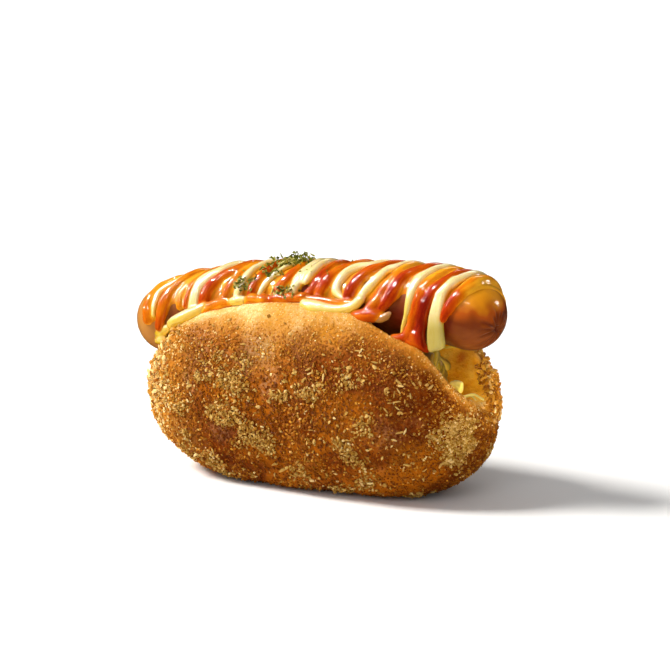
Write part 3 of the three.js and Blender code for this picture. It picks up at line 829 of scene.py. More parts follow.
    # a few long flakes
    n = 420
    pos, nor, k, w = scatter_on(rng, P, Q, N, free * (1 - lip) * smooth(fbm(P, 10.0, 2, 3), -0.1, 0.4), n)
    size = rng.uniform(1.7, 2.7, n)
    tone = np.clip(rng.normal(0.62, 0.18, n), 0, 1)
    crumbs("crumbs_flakes", rng, pos, nor, size, (1.25, 0.5, 0.34), 0.34, 0.12, tone, pale)


# ============================================================== sausage ===
# painted shade on the skin in the deep places between the lines of sauce: x, degrees, radii, strength
SKIN_SHADE_SPOTS = [(-55.6, 84, 3.4, 18, 0.6), (3.7, 66, 2.6, 14, 0.95), (29.8, 54, 2.4, 16, 0.95), (44.2, 106, 5.2, 28, 0.95),
          (65.4, 100, 3.0, 26, 1.0), (58.0, 98, 4.0, 24, 0.9), (48.6, 74, 2.6, 30, 0.8)]
POLES = {-1: (-0.955, 0.05, -0.29), 1: (0.925, -0.235, -0.300)}


def make_sausage():
    rng = np.random.default_rng(3)
    A = 168
    caps = 40
    al = np.concatenate([SX0 - R * np.linspace(np.pi / 2, 0, caps, endpoint=False),
                         np.linspace(SX0, SX1, 84),
                         SX1 + R * np.linspace(0, np.pi / 2, caps + 1)[1:]])
    al = al[1:-1]
    th = np.linspace(0, 2 * np.pi, A, endpoint=False)
    X, T = np.meshgrid(al, th, indexing="ij")
    P = skin(X, T, np.full(X.shape, R))
    n0 = P.shape[0]
    P = P.reshape(-1, 3)
    tips = np.stack([skin(np.array(SX0 - R * np.pi / 2), np.array(0.0), np.array(R)),
                     skin(np.array(SX1 + R * np.pi / 2), np.array(0.0), np.array(R))])
    P = np.vstack([P, tips])
    xc = np.clip(P[:, 0], SX0, SX1)
    for _ in range(4):
        d, _n, _m = axes(xc)
        xc = np.clip(xc + np.einsum("ij,ij->i", P - axis(xc), d), SX0, SX1)
    N = (P - axis(xc)) / R
    dr = 0.20 * noise(P, 17.0, 1) + 0.045 * noise(P * np.array([0.3, 1, 1]), 1.6, 2)
    crease_shade = np.zeros(len(P))
    for sign, end in ((-1, SX0), (1, SX1)):
        C = axis(np.array(end))
        pole = np.array(POLES[sign])
        pole /= np.linalg.norm(pole)
        v = P - C
        v /= np.linalg.norm(v, axis=1, keepdims=True)
        a = np.degrees(np.arccos(np.clip(v @ pole, -1, 1)))
        e1 = np.cross(pole, [0, 0, 1.0])
        e1 /= np.linalg.norm(e1)
        e2 = np.cross(pole, e1)
        psi = np.arctan2(v @ e2, v @ e1)
        near = 1 - smooth(a, 10, 62)
        cs = np.zeros(len(P))
        count = 14
        for i in range(count):
            c0 = 2 * np.pi * (i + rng.uniform(-0.32, 0.32)) / count
            wd = rng.uniform(0.07, 0.13)
            reach_a = rng.uniform(24, 56)
            dd = (psi - c0 + np.pi + 0.10 * np.sin(a / 9 + i)) % (2 * np.pi) - np.pi
            wide = wd * (1 + 5.0 / np.maximum(a, 3))
            cs = np.maximum(cs, np.exp(-(dd / wide) ** 2) * (1 - smooth(a, reach_a * 0.55, reach_a)) * rng.uniform(0.5, 1.0))
        dim = np.exp(-(a / 6.5) ** 2)
        fold = (1 - smooth(a, 4, 30)) * 0.35
        dr = dr - cs * (0.25 + 0.75 * near) * 0.85 - 1.3 * dim + fold * (1 - cs)
        # this mask paints shade into the creases and the dimple
        crease_shade = np.maximum(crease_shade, np.clip(cs * (0.35 + 0.6 * near) + dim * 0.6, 0, 1))
    P = P + N * dr[:, None]
    i, j = np.meshgrid(np.arange(n0 - 1), np.arange(A), indexing="ij")
    a, b = i * A + j, i * A + (j + 1) % A
    Q = np.stack([a, b, b + A, a + A], -1).reshape(-1, 4)
    k0, k1 = len(P) - 2, len(P) - 1
    jj = np.arange(0, A, 2)
    f0 = np.stack([(jj + 2) % A, (jj + 1) % A, jj, np.full(len(jj), k0)], -1)
    f1 = np.stack([jj, (jj + 1) % A, (jj + 2) % A, np.full(len(jj), k1)], -1)
    f1[:, :3] += (n0 - 1) * A
    Q = np.vstack([Q, f0, f1])
    # painted shade mask: the faces that turn down
    underside_shade = smooth(-N[:, 2], -0.2, 0.9)
    tilt = N @ np.array([0.12, -0.30, 0.945])
    xs = np.clip(P[:, 0], SX0, SX1)
    _d, nn, mm = axes(xs)
    th_deg = np.degrees(np.arctan2(np.einsum("ij,ij->i", N, nn), np.einsum("ij,ij->i", N, mm)))
    # painted shade spots in the deep places between the lines of sauce
    skin_shade = np.zeros(len(P))
    for gx, gt, rx, rt, w0 in SKIN_SHADE_SPOTS:
        skin_shade = np.maximum(skin_shade, w0 * np.exp(-(((P[:, 0] - gx + 0.8 * noise(P, 3.0, 1)) / rx) ** 2 + ((th_deg - gt) / rt) ** 2) ** 1.3))
    # the film is the sauce's own, but its dark lower edge and bright top follow the skin's tilt: painted shade and
    # light
    glaze_and_shade = smooth(tilt + 0.16 * noise(P, 5.0, 2) + 0.07 * noise(P, 2.0, 3), -0.15, 0.85) * smooth(P[:, 0], 48, 60)
    a_, b_, c_, d_ = (P[Q[:, k]] for k in range(4))
    if (np.einsum("ij,ij->i", a_, np.cross(b_, c_)) + np.einsum("ij,ij->i", a_, np.cross(c_, d_))).sum() < 0:
        Q = Q[:, ::-1]
    ob = mesh_object("frankfurter", P, Q, True, {"underside_shade": underside_shade, "crease_shade": crease_shade, "pale": smooth(-P[:, 0], 44, 70), "glaze_and_shade": glaze_and_shade, "skin_shade": skin_shade}, sausage_material())
    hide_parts("sausage")


# =============================================================== sauces ===
# each line: name, thickness, tone (0 amber .. 1 dark red), and its way from the
# front foot to the top: (x mm, degrees from the top, half width mm)
MAYO = [
    ("m1", 2.3, 0, [(-64.1, 77, 1.1), (-62.5, 52, 1.3), (-60.8, 36, 1.4), (-56.8, 26, 1.4), (-53.2, 18, 1.3)]),
    ("m3", 3.1, 0, [(-45.8, 84, 2.5), (-45.6, 76, 2.8), (-44.4, 59, 3.1), (-42.9, 42, 3.1), (-40.0, 30, 2.8), (-36.2, 22, 2.3)]),
    ("m5", 2.7, 0, [(-26.4, 80, 1.6), (-25.0, 57, 2.1), (-23.2, 39, 2.1), (-21.5, 23, 1.9), (-19.9, 11, 1.6)]),
    ("m5b", 2.4, 0, [(-15.8, 74, 1.4), (-13.7, 54, 1.6), (-11.0, 38, 1.6), (-8.2, 22, 1.4)]),
    ("m6", 2.9, 0, [(-2.4, 80, 2.1), (-0.4, 60, 2.5), (0.7, 41, 2.5), (2.4, 23, 2.1)]),
    ("m7", 3.0, 0, [(3.8, 57, 1.2), (4.3, 43, 2.1), (5.6, 25, 1.8)]),
    ("m8", 2.9, 0, [(23.0, 80, 1.1), (20.5, 76, 1.5), (17.8, 67, 2.1), (18.1, 49, 2.5), (20.2, 32, 2.5), (23.8, 18, 2.1), (28.5, 9, 1.8)]),
    ("m9", 3.0, 0, [(21.7, 93, 1.8), (27.6, 81, 2.0), (31.6, 61, 2.0), (34.4, 44, 1.9), (37.1, 24, 1.8), (39.9, 15, 1.6)]),
    ("m10", 3.1, 0, [(50.6, 92, 1.2), (51.2, 73, 1.8), (51.3, 56, 2.5), (52.4, 37, 2.7), (54.4, 20, 2.1)]),
    ("m11", 3.0, 0, [(63.0, 58, 1.9), (64.2, 46, 2.0), (65.7, 31, 1.8)]),
]
KETCHUP = [
    ("k0", 2.2, (0.40, 0.24), [(-67.4, 78, 2.4), (-66.2, 52, 2.6), (-63.9, 34, 2.3), (-61.2, 17, 1.8), (-56.6, 7, 1.7), (-50.5, 4, 1.5)]),
    ("k1", 2.8, 0.42, [(-63.0, 96, 2.0), (-59.8, 69, 2.6), (-57.7, 51, 2.5), (-54.9, 36, 2.0), (-51.4, 22, 1.8)]),
    ("a2", 1.9, 0.2, [(-52.5, 75, 1.6), (-52.2, 58, 1.7), (-50.5, 45, 1.6), (-47.3, 32, 1.4)]),
    ("k2", 2.3, 0.5, [(-49.5, 78, 1.0), (-47.9, 57, 1.2), (-46.5, 41, 1.2), (-43.7, 28, 1.1)]),
    ("k3", 3.0, 0.56, [(-41.8, 86, 2.2), (-41.6, 78, 2.3), (-39.4, 57, 2.6), (-36.7, 44, 2.6), (-33.4, 32, 2.4), (-28.9, 20, 2.0)]),
    ("a4", 2.2, 0.36, [(-32.7, 84, 1.8), (-31.0, 64, 2.0), (-29.4, 49, 1.8), (-27.3, 36, 1.6), (-25.3, 22, 1.5)]),
    ("k5", 2.8, 0.62, [(-20.4, 80, 1.8), (-19.1, 60, 2.2), (-16.9, 42, 2.2), (-14.2, 20, 2.0)]),
    ("k6", 2.5, 0.45, [(-9.6, 82, 1.9), (-7.4, 62, 2.3), (-5.0, 46, 2.3), (-2.6, 24, 2.0)]),
    ("k7a", 2.5, 0.66, [(3.5, 80, 1.8), (7.2, 63, 1.9), (8.8, 45, 1.8), (10.5, 24, 1.6)]),
    ("k7", 2.8, 0.55, [(10.2, 78, 2.0), (11.6, 58, 2.4), (13.3, 41, 2.4), (16.0, 27, 2.0), (19.2, 15, 1.7)]),
    ("k8", 3.0, 0.64, [(22.9, 76, 2.0), (24.9, 57, 2.5), (27.0, 40, 2.5), (30.0, 25, 2.3), (33.6, 13, 1.9)]),
    ("a9", 2.6, (0.46, 0.02), [(30.0, 101, 1.8), (35.2, 78, 2.2), (38.4, 60, 2.4), (40.7, 40, 2.2), (42.2, 22, 1.9)]),
    ("k9", 2.9, 0.70, [(37.0, 94, 2.0), (41.4, 76, 2.3), (43.6, 56, 2.3), (45.5, 34, 2.3), (49.0, 18, 2.0)]),
    ("a10", 2.7, (0.44, 0.06), [(52.2, 100, 2.0), (53.8, 90, 2.0), (54.4, 74, 2.2), (55.5, 50, 2.4), (57.2, 31, 2.0), (58.8, 15, 1.9)]),
    ("k10", 2.6, 0.80, [(56.4, 104, 2.0), (57.5, 92, 2.0), (58.5, 72, 2.2), (60.4, 49, 2.4), (62.6, 26, 2.1)]),
    ("k11", 2.5, (0.86, 0.12), [(66.9, 92, 1.8), (68.0, 76, 2.2), (69.6, 52, 2.6), (70.8, 27, 3.2), (71.1, 4, 3.2)]),
    ("f12", 0.8, 0.48, [(70.9, 64, 0.7), (71.9, 47, 0.9), (73.3, 28, 1.0), (74.9, 6, 1.0)]),
]
# runs and drops along the front lip: (x, y, z, radius) mm
MAYO_RUNS = [
    [(-54.1, -17.5, 58.9, 2.2), (-50.9, -18.2, 60.6, 2.6), (-46.3, -18.2, 63.1, 2.6), (-42.4, -17.6, 65.0, 2.3), (-39.5, -16.4, 66.9, 1.9)],
    [(-63.4, -13.5, 53.9, 2.0), (-60.0, -15.0, 54.9, 2.3), (-57.0, -16.0, 56.6, 1.9)],
    [(-63.2, -13.5, 50.7, 1.7), (-59.8, -15.3, 51.8, 2.0)],
    [(-26.4, -17.2, 70.4, 1.7), (-23.6, -17.6, 71.1, 2.1), (-20.7, -17.2, 71.3, 1.7)],
    [(6.6, -18.4, 72.9, 2.1), (10.2, -19.0, 72.2, 2.7), (12.8, -19.0, 72.0, 2.7), (16.6, -18.8, 71.8, 2.2), (21.7, -18.0, 72.0, 1.9), (26.3, -17.0, 73.4, 2.1),
     (29.4, -15.9, 76.4, 1.8)],
    [(35.7, -16.8, 69.7, 1.5), (38.2, -16.8, 70.1, 1.8), (40.4, -16.2, 71.2, 1.6), (41.8, -15.6, 72.4, 1.0)],
    [(46.9, -16.3, 63.4, 0.8), (47.3, -16.3, 66.2, 0.9), (48.0, -16.3, 69.0, 1.05), (48.8, -16.2, 71.8, 1.15), (49.3, -15.9, 74.2, 1.25)],
]
KETCHUP_RUNS = [
    (0.30, [(-41.7, -16.5, 65.8, 1.3), (-37.8, -16.8, 67.6, 1.5), (-33.1, -17.0, 69.3, 1.6), (-28.2, -16.8, 70.5, 1.4)]),
    (0.16, [(-39.8, -17.2, 64.6, 1.3), (-37.4, -17.6, 66.0, 1.5), (-35.0, -17.2, 67.2, 1.2)]),
    (0.34, [(-34.6, -17.0, 67.0, 1.2), (-32.4, -17.4, 67.9, 1.7), (-29.8, -17.3, 68.7, 1.4), (-27.2, -17.4, 69.6, 1.6)]),
    (0.22, [(-19.8, -17.2, 71.2, 1.8), (-17.2, -17.0, 72.2, 2.4), (-14.4, -17.2, 72.0, 1.7), (-12.0, -16.8, 72.8, 2.0)]),
    (0.44, [(-12.3, -16.6, 72.9, 2.2), (-9.4, -16.8, 72.4, 1.5), (-6.4, -16.4, 73.6, 2.4), (-3.8, -16.8, 73.2, 1.7), (-1.0, -16.6, 74.2, 2.2), (1.6, -16.9, 73.9, 1.5), (4.4, -16.4, 75.0, 2.1)]),
    (0.36, [(25.1, -15.6, 74.4, 1.9), (21.7, -16.4, 73.9, 1.7), (16.5, -16.4, 74.3, 1.7), (11.1, -16.2, 74.5, 1.6), (5.8, -16.0, 74.5, 1.4)]),
    (0.48, [(26.4, -16.8, 70.8, 1.5), (29.2, -17.4, 70.5, 2.4), (32.6, -17.4, 70.7, 2.9), (35.8, -17.0, 71.0, 2.6), (38.2, -16.6, 71.0, 1.8)]),
    (0.40, [(32.2, -17.0, 71.4, 2.2), (34.4, -15.8, 74.6, 2.2), (36.6, -14.4, 77.4, 1.9)]),
    (0.50, [(44.0, -17.4, 64.0, 1.2), (46.6, -17.6, 63.9, 1.7), (49.1, -17.2, 64.2, 2.1), (50.1, -16.3, 66.6, 2.0), (51.2, -15.2, 70.2, 2.0)]),
    (0.42, [(49.4, -17.4, 63.2, 1.4), (51.6, -17.3, 62.4, 2.1), (53.8, -17.1, 61.8, 2.0), (55.8, -16.9, 60.9, 1.3)]),
    (0.44, [(52.4, -16.9, 65.4, 1.5), (53.0, -17.0, 63.8, 1.7)]),
    (0.95, [(58.4, -16.6, 59.8, 0.9), (56.5, -16.6, 60.9, 1.7), (55.1, -16.4, 63.7, 2.1), (54.6, -15.6, 67.3, 2.1), (55.4, -14.6, 70.9, 2.1)]),
]
# broad flat ribbons that leave the skin and hang: x, y, z, half width, radius
HANGING = [[(65.6, -9.9, 86.1, 1.8, 1.8), (64.2, -12.9, 83.9, 2.0, 1.8), (62.9, -14.7, 81.3, 2.3, 1.8), (62.4, -16.4, 77.4, 2.7, 1.8), (61.9, -17.0, 73.4, 3.0, 1.8),
            (61.6, -16.9, 69.4, 3.3, 1.8), (61.6, -16.7, 65.4, 3.6, 1.7), (62.0, -16.4, 61.0, 3.9, 1.5)]]
# bare places in the thin film of sauce: x, degrees, radii
GAPS = [(-55.6, 80, 2.2, 14), (3.7, 66, 1.6, 9), (29.8, 54, 1.2, 9), (47.2, 88, 3.4, 34), (61.0, 88, 1.2, 16)]


def surface_line(h, way, back=True, seed=0, tones=None):
    """Rows x, y, z, radius along a line of sauce: its half width is the radius, sunk so that it stands h above the skin."""
    way = [tuple(map(float, w)) for w in way]
    if back:
        (x0, t0, _w0), (x1, t1, w1) = way[-2], way[-1]
        slope = max(0.02, min(0.22, (x1 - x0) / max(t0 - t1, 4)))
        rng = np.random.default_rng(seed)
        for k, t in enumerate((t1 - 26, t1 - 54, -76 - 8 * rng.random(), -94 - 14 * rng.random())):
            if t < way[-1][1] - 6:
                x = x1 + slope * 34 * (1 - math.exp(-(t1 - t) / 46))
                way.append((x + rng.uniform(-0.4, 0.4), t, w1 * (1.12, 1.2, 1.1, 0.8)[k] + 0.2))
    w = np.array(way)
    pts = np.column_stack([w[:, 0], np.radians(w[:, 1]) * R, np.zeros(len(w)), w[:, 2]])
    c = catmull(pts, 0.8)
    redder = 0.13 * smooth(c[:, 1] / R, 0.7, 1.5) - 0.15 * (1 - smooth(c[:, 1] / R, 0.15, 1.0))   # deeper towards the foot
    if tones:
        redder = tones[1] + (tones[0] - tones[1]) * smooth(c[:, 1] / R, 0.4, 1.3)
    wob = 1 + 0.07 * np.sin(c[:, 1] * 0.55 + seed * 1.7) + 0.05 * np.sin(c[:, 1] * 1.3 + seed)
    rad = c[:, 3] * wob
    q = skin(c[:, 0], c[:, 1] / R, R + h - rad)
    return np.column_stack([q, rad, redder])


def broad(rows, n=4):
    """Lines side by side that make one flat ribbon; the rightmost ones end a little higher."""
    c = catmull(rows, 0.8)
    t = np.gradient(c[:, :3], axis=0)
    t /= np.linalg.norm(t, axis=1, keepdims=True)
    o = c[:, :3] - axis(np.clip(c[:, 0], SX0, SX1))
    o /= np.linalg.norm(o, axis=1, keepdims=True)
    sd = np.cross(t, o)
    sd /= np.linalg.norm(sd, axis=1, keepdims=True)
    sd *= np.sign(sd[:, :1])
    out = []
    for k, f in enumerate(np.linspace(-1, 1, n)):
        line = np.column_stack([c[:, :3] + sd * (f * (c[:, 3] - c[:, 4]))[:, None], c[:, 4]])
        out.append(line[:len(line) - int(round(k * 0.7))])
    return out


class Flow:
    """Where each cell lies across and along the line of sauce that it belongs to."""

    def __init__(self, shape):
        self.across = np.zeros(shape, np.float32)
        self.along = np.zeros(shape, np.float32)


def ridges(across, along, seed):
    return (0.6 * np.sin(5.2 * across + seed * 2.1 + 0.5 * np.sin(0.32 * along + seed))
            + 0.4 * np.sin(8.6 * across + seed * 5.3 + 0.7 * np.sin(0.23 * along + 2 * seed)))


def splat(g, F, T, line, tone=0.0, flow=None, seed=0):
    """Union of round cones along a line into the distance grid F, and its tone into T."""
    run = 0.0
    for a, b in zip(line[:-1], line[1:]):
        r = max(a[3], b[3]) + 2.2
        lo = np.floor((np.minimum(a[:3], b[:3]) - r - g.lo) / g.h).astype(int)
        hi = np.ceil((np.maximum(a[:3], b[:3]) + r - g.lo) / g.h).astype(int) + 1
        lo = np.maximum(lo, 0)
        hi = np.minimum(hi, g.n)
        ab = b[:3] - a[:3]
        L = float(np.linalg.norm(ab))
        if (hi <= lo).any() or L < 1e-6:
            continue
        X = g.ax[0][lo[0]:hi[0]][:, None, None] - a[0]
        Y = g.ax[1][lo[1]:hi[1]][None, :, None] - a[1]
        Z = g.ax[2][lo[2]:hi[2]][None, None, :] - a[2]
        t = np.clip((X * ab[0] + Y * ab[1] + Z * ab[2]) / (L * L), 0, 1)
        DX, DY, DZ = X - t * ab[0], Y - t * ab[1], Z - t * ab[2]
        rad = a[3] + t * (b[3] - a[3])
        out = a[:3] - axis(np.clip(a[0], SX0, SX1))
        side = np.cross(ab / L, out / max(np.linalg.norm(out), 1e-6))
        side /= max(np.linalg.norm(side), 1e-6)
        across = (DX * side[0] + DY * side[1] + DZ * side[2]) / rad
        along = run + t * L
        sk = ridges(across, along, seed)
        d = np.sqrt(DX * DX + DY * DY + DZ * DZ) - rad - 0.11 * sk
        sl = tuple(slice(p, q) for p, q in zip(lo, hi))
        m = d < F[sl]
        F[sl] = np.where(m, d, F[sl])
        if T is not None:
            T[sl] = np.where(m, tone + (a[4] if len(a) > 4 else 0.0) + 0.10 * sk, T[sl])
        if flow is not None:
            flow.across[sl] = np.where(m, across + 7.0 * seed, flow.across[sl])
            flow.along[sl] = np.where(m, along, flow.along[sl])
        run += L


def make_sauces():
    g = Grid((-83.5, -22.5, 45.0), (86.5, 21.5, 94.5), 0.48)
    X, Y, Z = g.points()
    P3 = np.stack([X, Y, Z], -1).reshape(-1, 3)
    rad2 = (P3[:, 1] ** 2 + (P3[:, 2] - axis(P3[:, 0])[:, 2]) ** 2)
    D = np.full(len(P3), 30.0, np.float32)
    TH = np.zeros(len(P3), np.float32)
    AX = np.zeros(len(P3), np.float32)
    near = rad2 < (R + 9) ** 2
    d, ax = sausage_distance(P3[near].astype(float))
    D[near] = d
    dv, n, m = axes(ax)
    q = P3[near] - axis(ax)
    TH[near] = np.degrees(np.arctan2(np.einsum("ij,ij->i", q, n), np.einsum("ij,ij->i", q, m)))
    AX[near] = ax + np.clip(np.einsum("ij,ij->i", q, dv), -R, R)
    D, TH, AX = (a.reshape(X.shape) for a in (D, TH, AX))
    big = np.full(X.shape, 6.0, np.float32)
    # --- mayonnaise
    FM = big.copy()
    TM = np.zeros(X.shape, np.float32)
    WM, WK = Flow(X.shape), Flow(X.shape)
    for k, (nm, h, tone, way) in enumerate(MAYO):
        splat(g, FM, TM, surface_line(h, way, True, k + 1), 0.0, WM, k + 1)
    for k, run in enumerate(MAYO_RUNS):
        splat(g, FM, TM, catmull(run, 0.8), 0.0, WM, k + 20)
    for k, rows in enumerate(HANGING):
        for j, line in enumerate(broad(rows)):
            splat(g, FM, TM, line, 0.0, WM, 11 + 0.04 * j)
    # a turn behind, between every second pair of lines
    for a, b in ((1, 2), (3, 5), (6, 7), (8, 9)):
        la = surface_line(MAYO[a][1], MAYO[a][3], True, a + 1)[-1]
        lb = surface_line(MAYO[b][1], MAYO[b][3], True, b + 1)[-1]
        mid = (la + lb) / 2
        mid[:3] += np.array([0, 1.0, -1.6])
        splat(g, FM, TM, catmull([la, mid, lb], 0.8), 0.0, WM, a + 30)
    # --- ketchup, with a thin film between the lines
    FK = big.copy()
    TK = np.full(X.shape, 0.36, np.float32)
    AXS = AX + 4.0 * noise(P3, 5.5, 2).reshape(X.shape)
    THS = TH + 13.0 * noise(P3, 7.0, 3).reshape(X.shape) + 5.0 * noise(P3, 2.8, 0).reshape(X.shape)
    t = 0.62 * smooth(AXS, -69, -63) * (1 - smooth(AXS, 58.5, 62)) * smooth(THS, -80, -52) * (1 - smooth(TH, 74, 88))
    t = t * (1 + 0.6 * noise(P3, 6.5, 1).reshape(X.shape))
    for gx, gt, rx, rt in GAPS:
        t = t - 1.1 * np.exp(-((AX - gx) / rx) ** 2 - ((TH - gt) / rt) ** 2)
    film = np.where(t > 0.04, D - t, 2.0).astype(np.float32)
    for k, (nm, h, tone, way) in enumerate(KETCHUP):
        two = isinstance(tone, tuple)
        splat(g, FK, TK, surface_line(h, way, True, 40 + k, tone if two else None), 0.0 if two else tone, WK, k + 1)
    for k, (tone, run) in enumerate(KETCHUP_RUNS):
        splat(g, FK, TK, catmull(run, 0.8), tone, WK, k + 30)
    TK = np.where(film < FK - 0.25, 0.34, TK)
    FK = np.minimum(FK, film)
    rough = 0.15 * noise(P3, 3.8, 1).reshape(X.shape) + 0.03 * noise(P3, 1.5, 3).reshape(X.shape)
    FM = blur(FM + rough, 2)
    FK = blur(FK - rough, 2)
    isfilm = blur((film < FK + 0.35).astype(np.float32), 2)
    TK = blur(TK, 4)
    FM = np.maximum(FM, -(D + 0.5))
    FK = np.maximum(FK, -(D + 0.5))
    del P3
    out = {}
    for name, F in (("mayonnaise_lines", FM), ("ketchup_lines", FK)):
        P, Q = nets(g, F)
        P, Q, _ = largest_shells(P, Q, 60)
        P = relax(P, Q, 1, 0.5)
        ds, _x = sausage_distance(P)
        W = WM if F is FM else WK
        near_i = tuple(np.clip(np.rint((P - g.lo) / g.h).astype(int), 0, np.array(g.n) - 1).T)
        flow = {"across": W.across[near_i], "along": W.along[near_i]}
        if F is FM:
            N = normals_of(P, Q)
            # the downward-facing mask and the mask for the hanging ribbon's lower part are painted shade
            a = {"thin": 1 - smooth(ds, 0.5, 2.2), "mix": 1 - smooth(g.sample(FK, P), -0.1, 0.6), "underside_shade": np.maximum(smooth(-N[:, 2], -0.5, 0.5), 0.9 * smooth(-N[:, 2], -0.75, 0.1) * smooth(-P[:, 1], 15.5, 17)) * (1 - 0.8 * smooth(P[:, 0], 48, 54)),
                 "streak": g.sample(TM, P) * 5.0, "low": smooth(P[:, 0], 54, 58) * smooth(-P[:, 2], -78, -68),
                 "blush": smooth(P[:, 0], 33.5, 35.5) * (1 - smooth(P[:, 0], 42, 44)) * smooth(-P[:, 2], -75, -73.5) * smooth(-P[:, 1], 13, 14.5), **flow}
            ob = mesh_object(name, P, Q, True, a, mayo_material())
            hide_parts("mayo_zigzag", "mayo_end_line")
        else:
            tone = g.sample(TK, P)
            near_m = 1 - smooth(g.sample(FM, P), 0.0, 1.2)
            tone = tone - 0.26 * near_m * (1 - smooth(tone, 0.8, 1.0)) - 0.30 * (1 - smooth(ds, 0.5, 1.9)) + 0.10 * smooth(ds, 1.9, 3.0)
            tone = tone - 0.07 + 0.18 * noise(P, 4.5, 2)
            thin = g.sample(isfilm, P) * (1 - smooth(ds, 0.35, 0.9))
            ob = mesh_object(name, P, Q, True, {"tone": np.clip(tone, 0, 1), "film": thin, **flow}, ketchup_material())
            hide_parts(*[f"ketchup_line_{i}" for i in range(1, 8)])
    return g, np.minimum(FM, FK)


# ================================================================ salad ===
def ribbons(rng, centres, dirs, normals, length, width, thick, bend, seg=10):
    """Joined curved strips, each closed, four-sided."""
    V, F, T = [], [], []
    k = 0
    for c, d, nrm, L, w, h, bd in zip(centres, dirs, normals, length, width, thick, bend):
        t = np.linspace(-0.5, 0.5, seg + 1)
        side = np.cross(nrm, d)
        ph = rng.uniform(0, 6.28)
        q = c + d * (t * L)[:, None] + side * (bd[0] * L * (4 * t * t - 0.4) + 0.05 * L * np.sin(5 * t + ph))[:, None] \
            + nrm * (bd[1] * L * (0.3 - 4 * t * t) * 0.5 + 0.04 * L * np.sin(7 * t + ph))[:, None]
        ww = w * (0.55 + 0.45 * np.cos(t * 2.4)) * (1 + 0.12 * np.sin(9 * t + ph))
        tw = rng.uniform(-0.6, 0.6) * t * 3
        sv = side * np.cos(tw)[:, None] + nrm * np.sin(tw)[:, None]
        nv = nrm * np.cos(tw)[:, None] - side * np.sin(tw)[:, None]
        ring = np.stack([q + sv * (ww / 2)[:, None] - nv * h * 0.15, q + nv * h / 2, q - sv * (ww / 2)[:, None] - nv * h * 0.15,
                         q - nv * h / 2], 1)
        V.append(ring.reshape(-1, 3))
        i, j = np.meshgrid(np.arange(seg), np.arange(4), indexing="ij")
        a, b = k + i * 4 + j, k + i * 4 + (j + 1) % 4
        F.append(np.stack([a, b, b + 4, a + 4], -1).reshape(-1, 4))
        e = k + seg * 4
        F.append(np.array([[k + 3, k + 2, k + 1, k], [e, e + 1, e + 2, e + 3]]))
        T.append(np.full(4 * (seg + 1), rng.random()))
        k += 4 * (seg + 1)
    return np.vstack(V), np.vstack(F), np.concatenate(T)


def salad_top(x, y):
    """Height of the heap's skin inside the slit."""
    u = np.clip((x - SALAD_X - BUN_SKEW * y) / SALAD_L, -1, 1)
    top = BUN_Z + SALAD_UP * taper(u, 4.5, 1.9) * (1 + 0.08 * u)
    return top - 9.0 * smooth(-y, -2, 8) * smooth(x, 20, 34)


def salad_end(y, z, side):
    """How far the heap reaches towards an end."""
    if side > 0:
        return 55.0 + 0.26 * (56 - z) - 0.36 * np.maximum(y + 3, 0)
    return 60.0 + 0.30 * np.maximum(52 - z, 0)


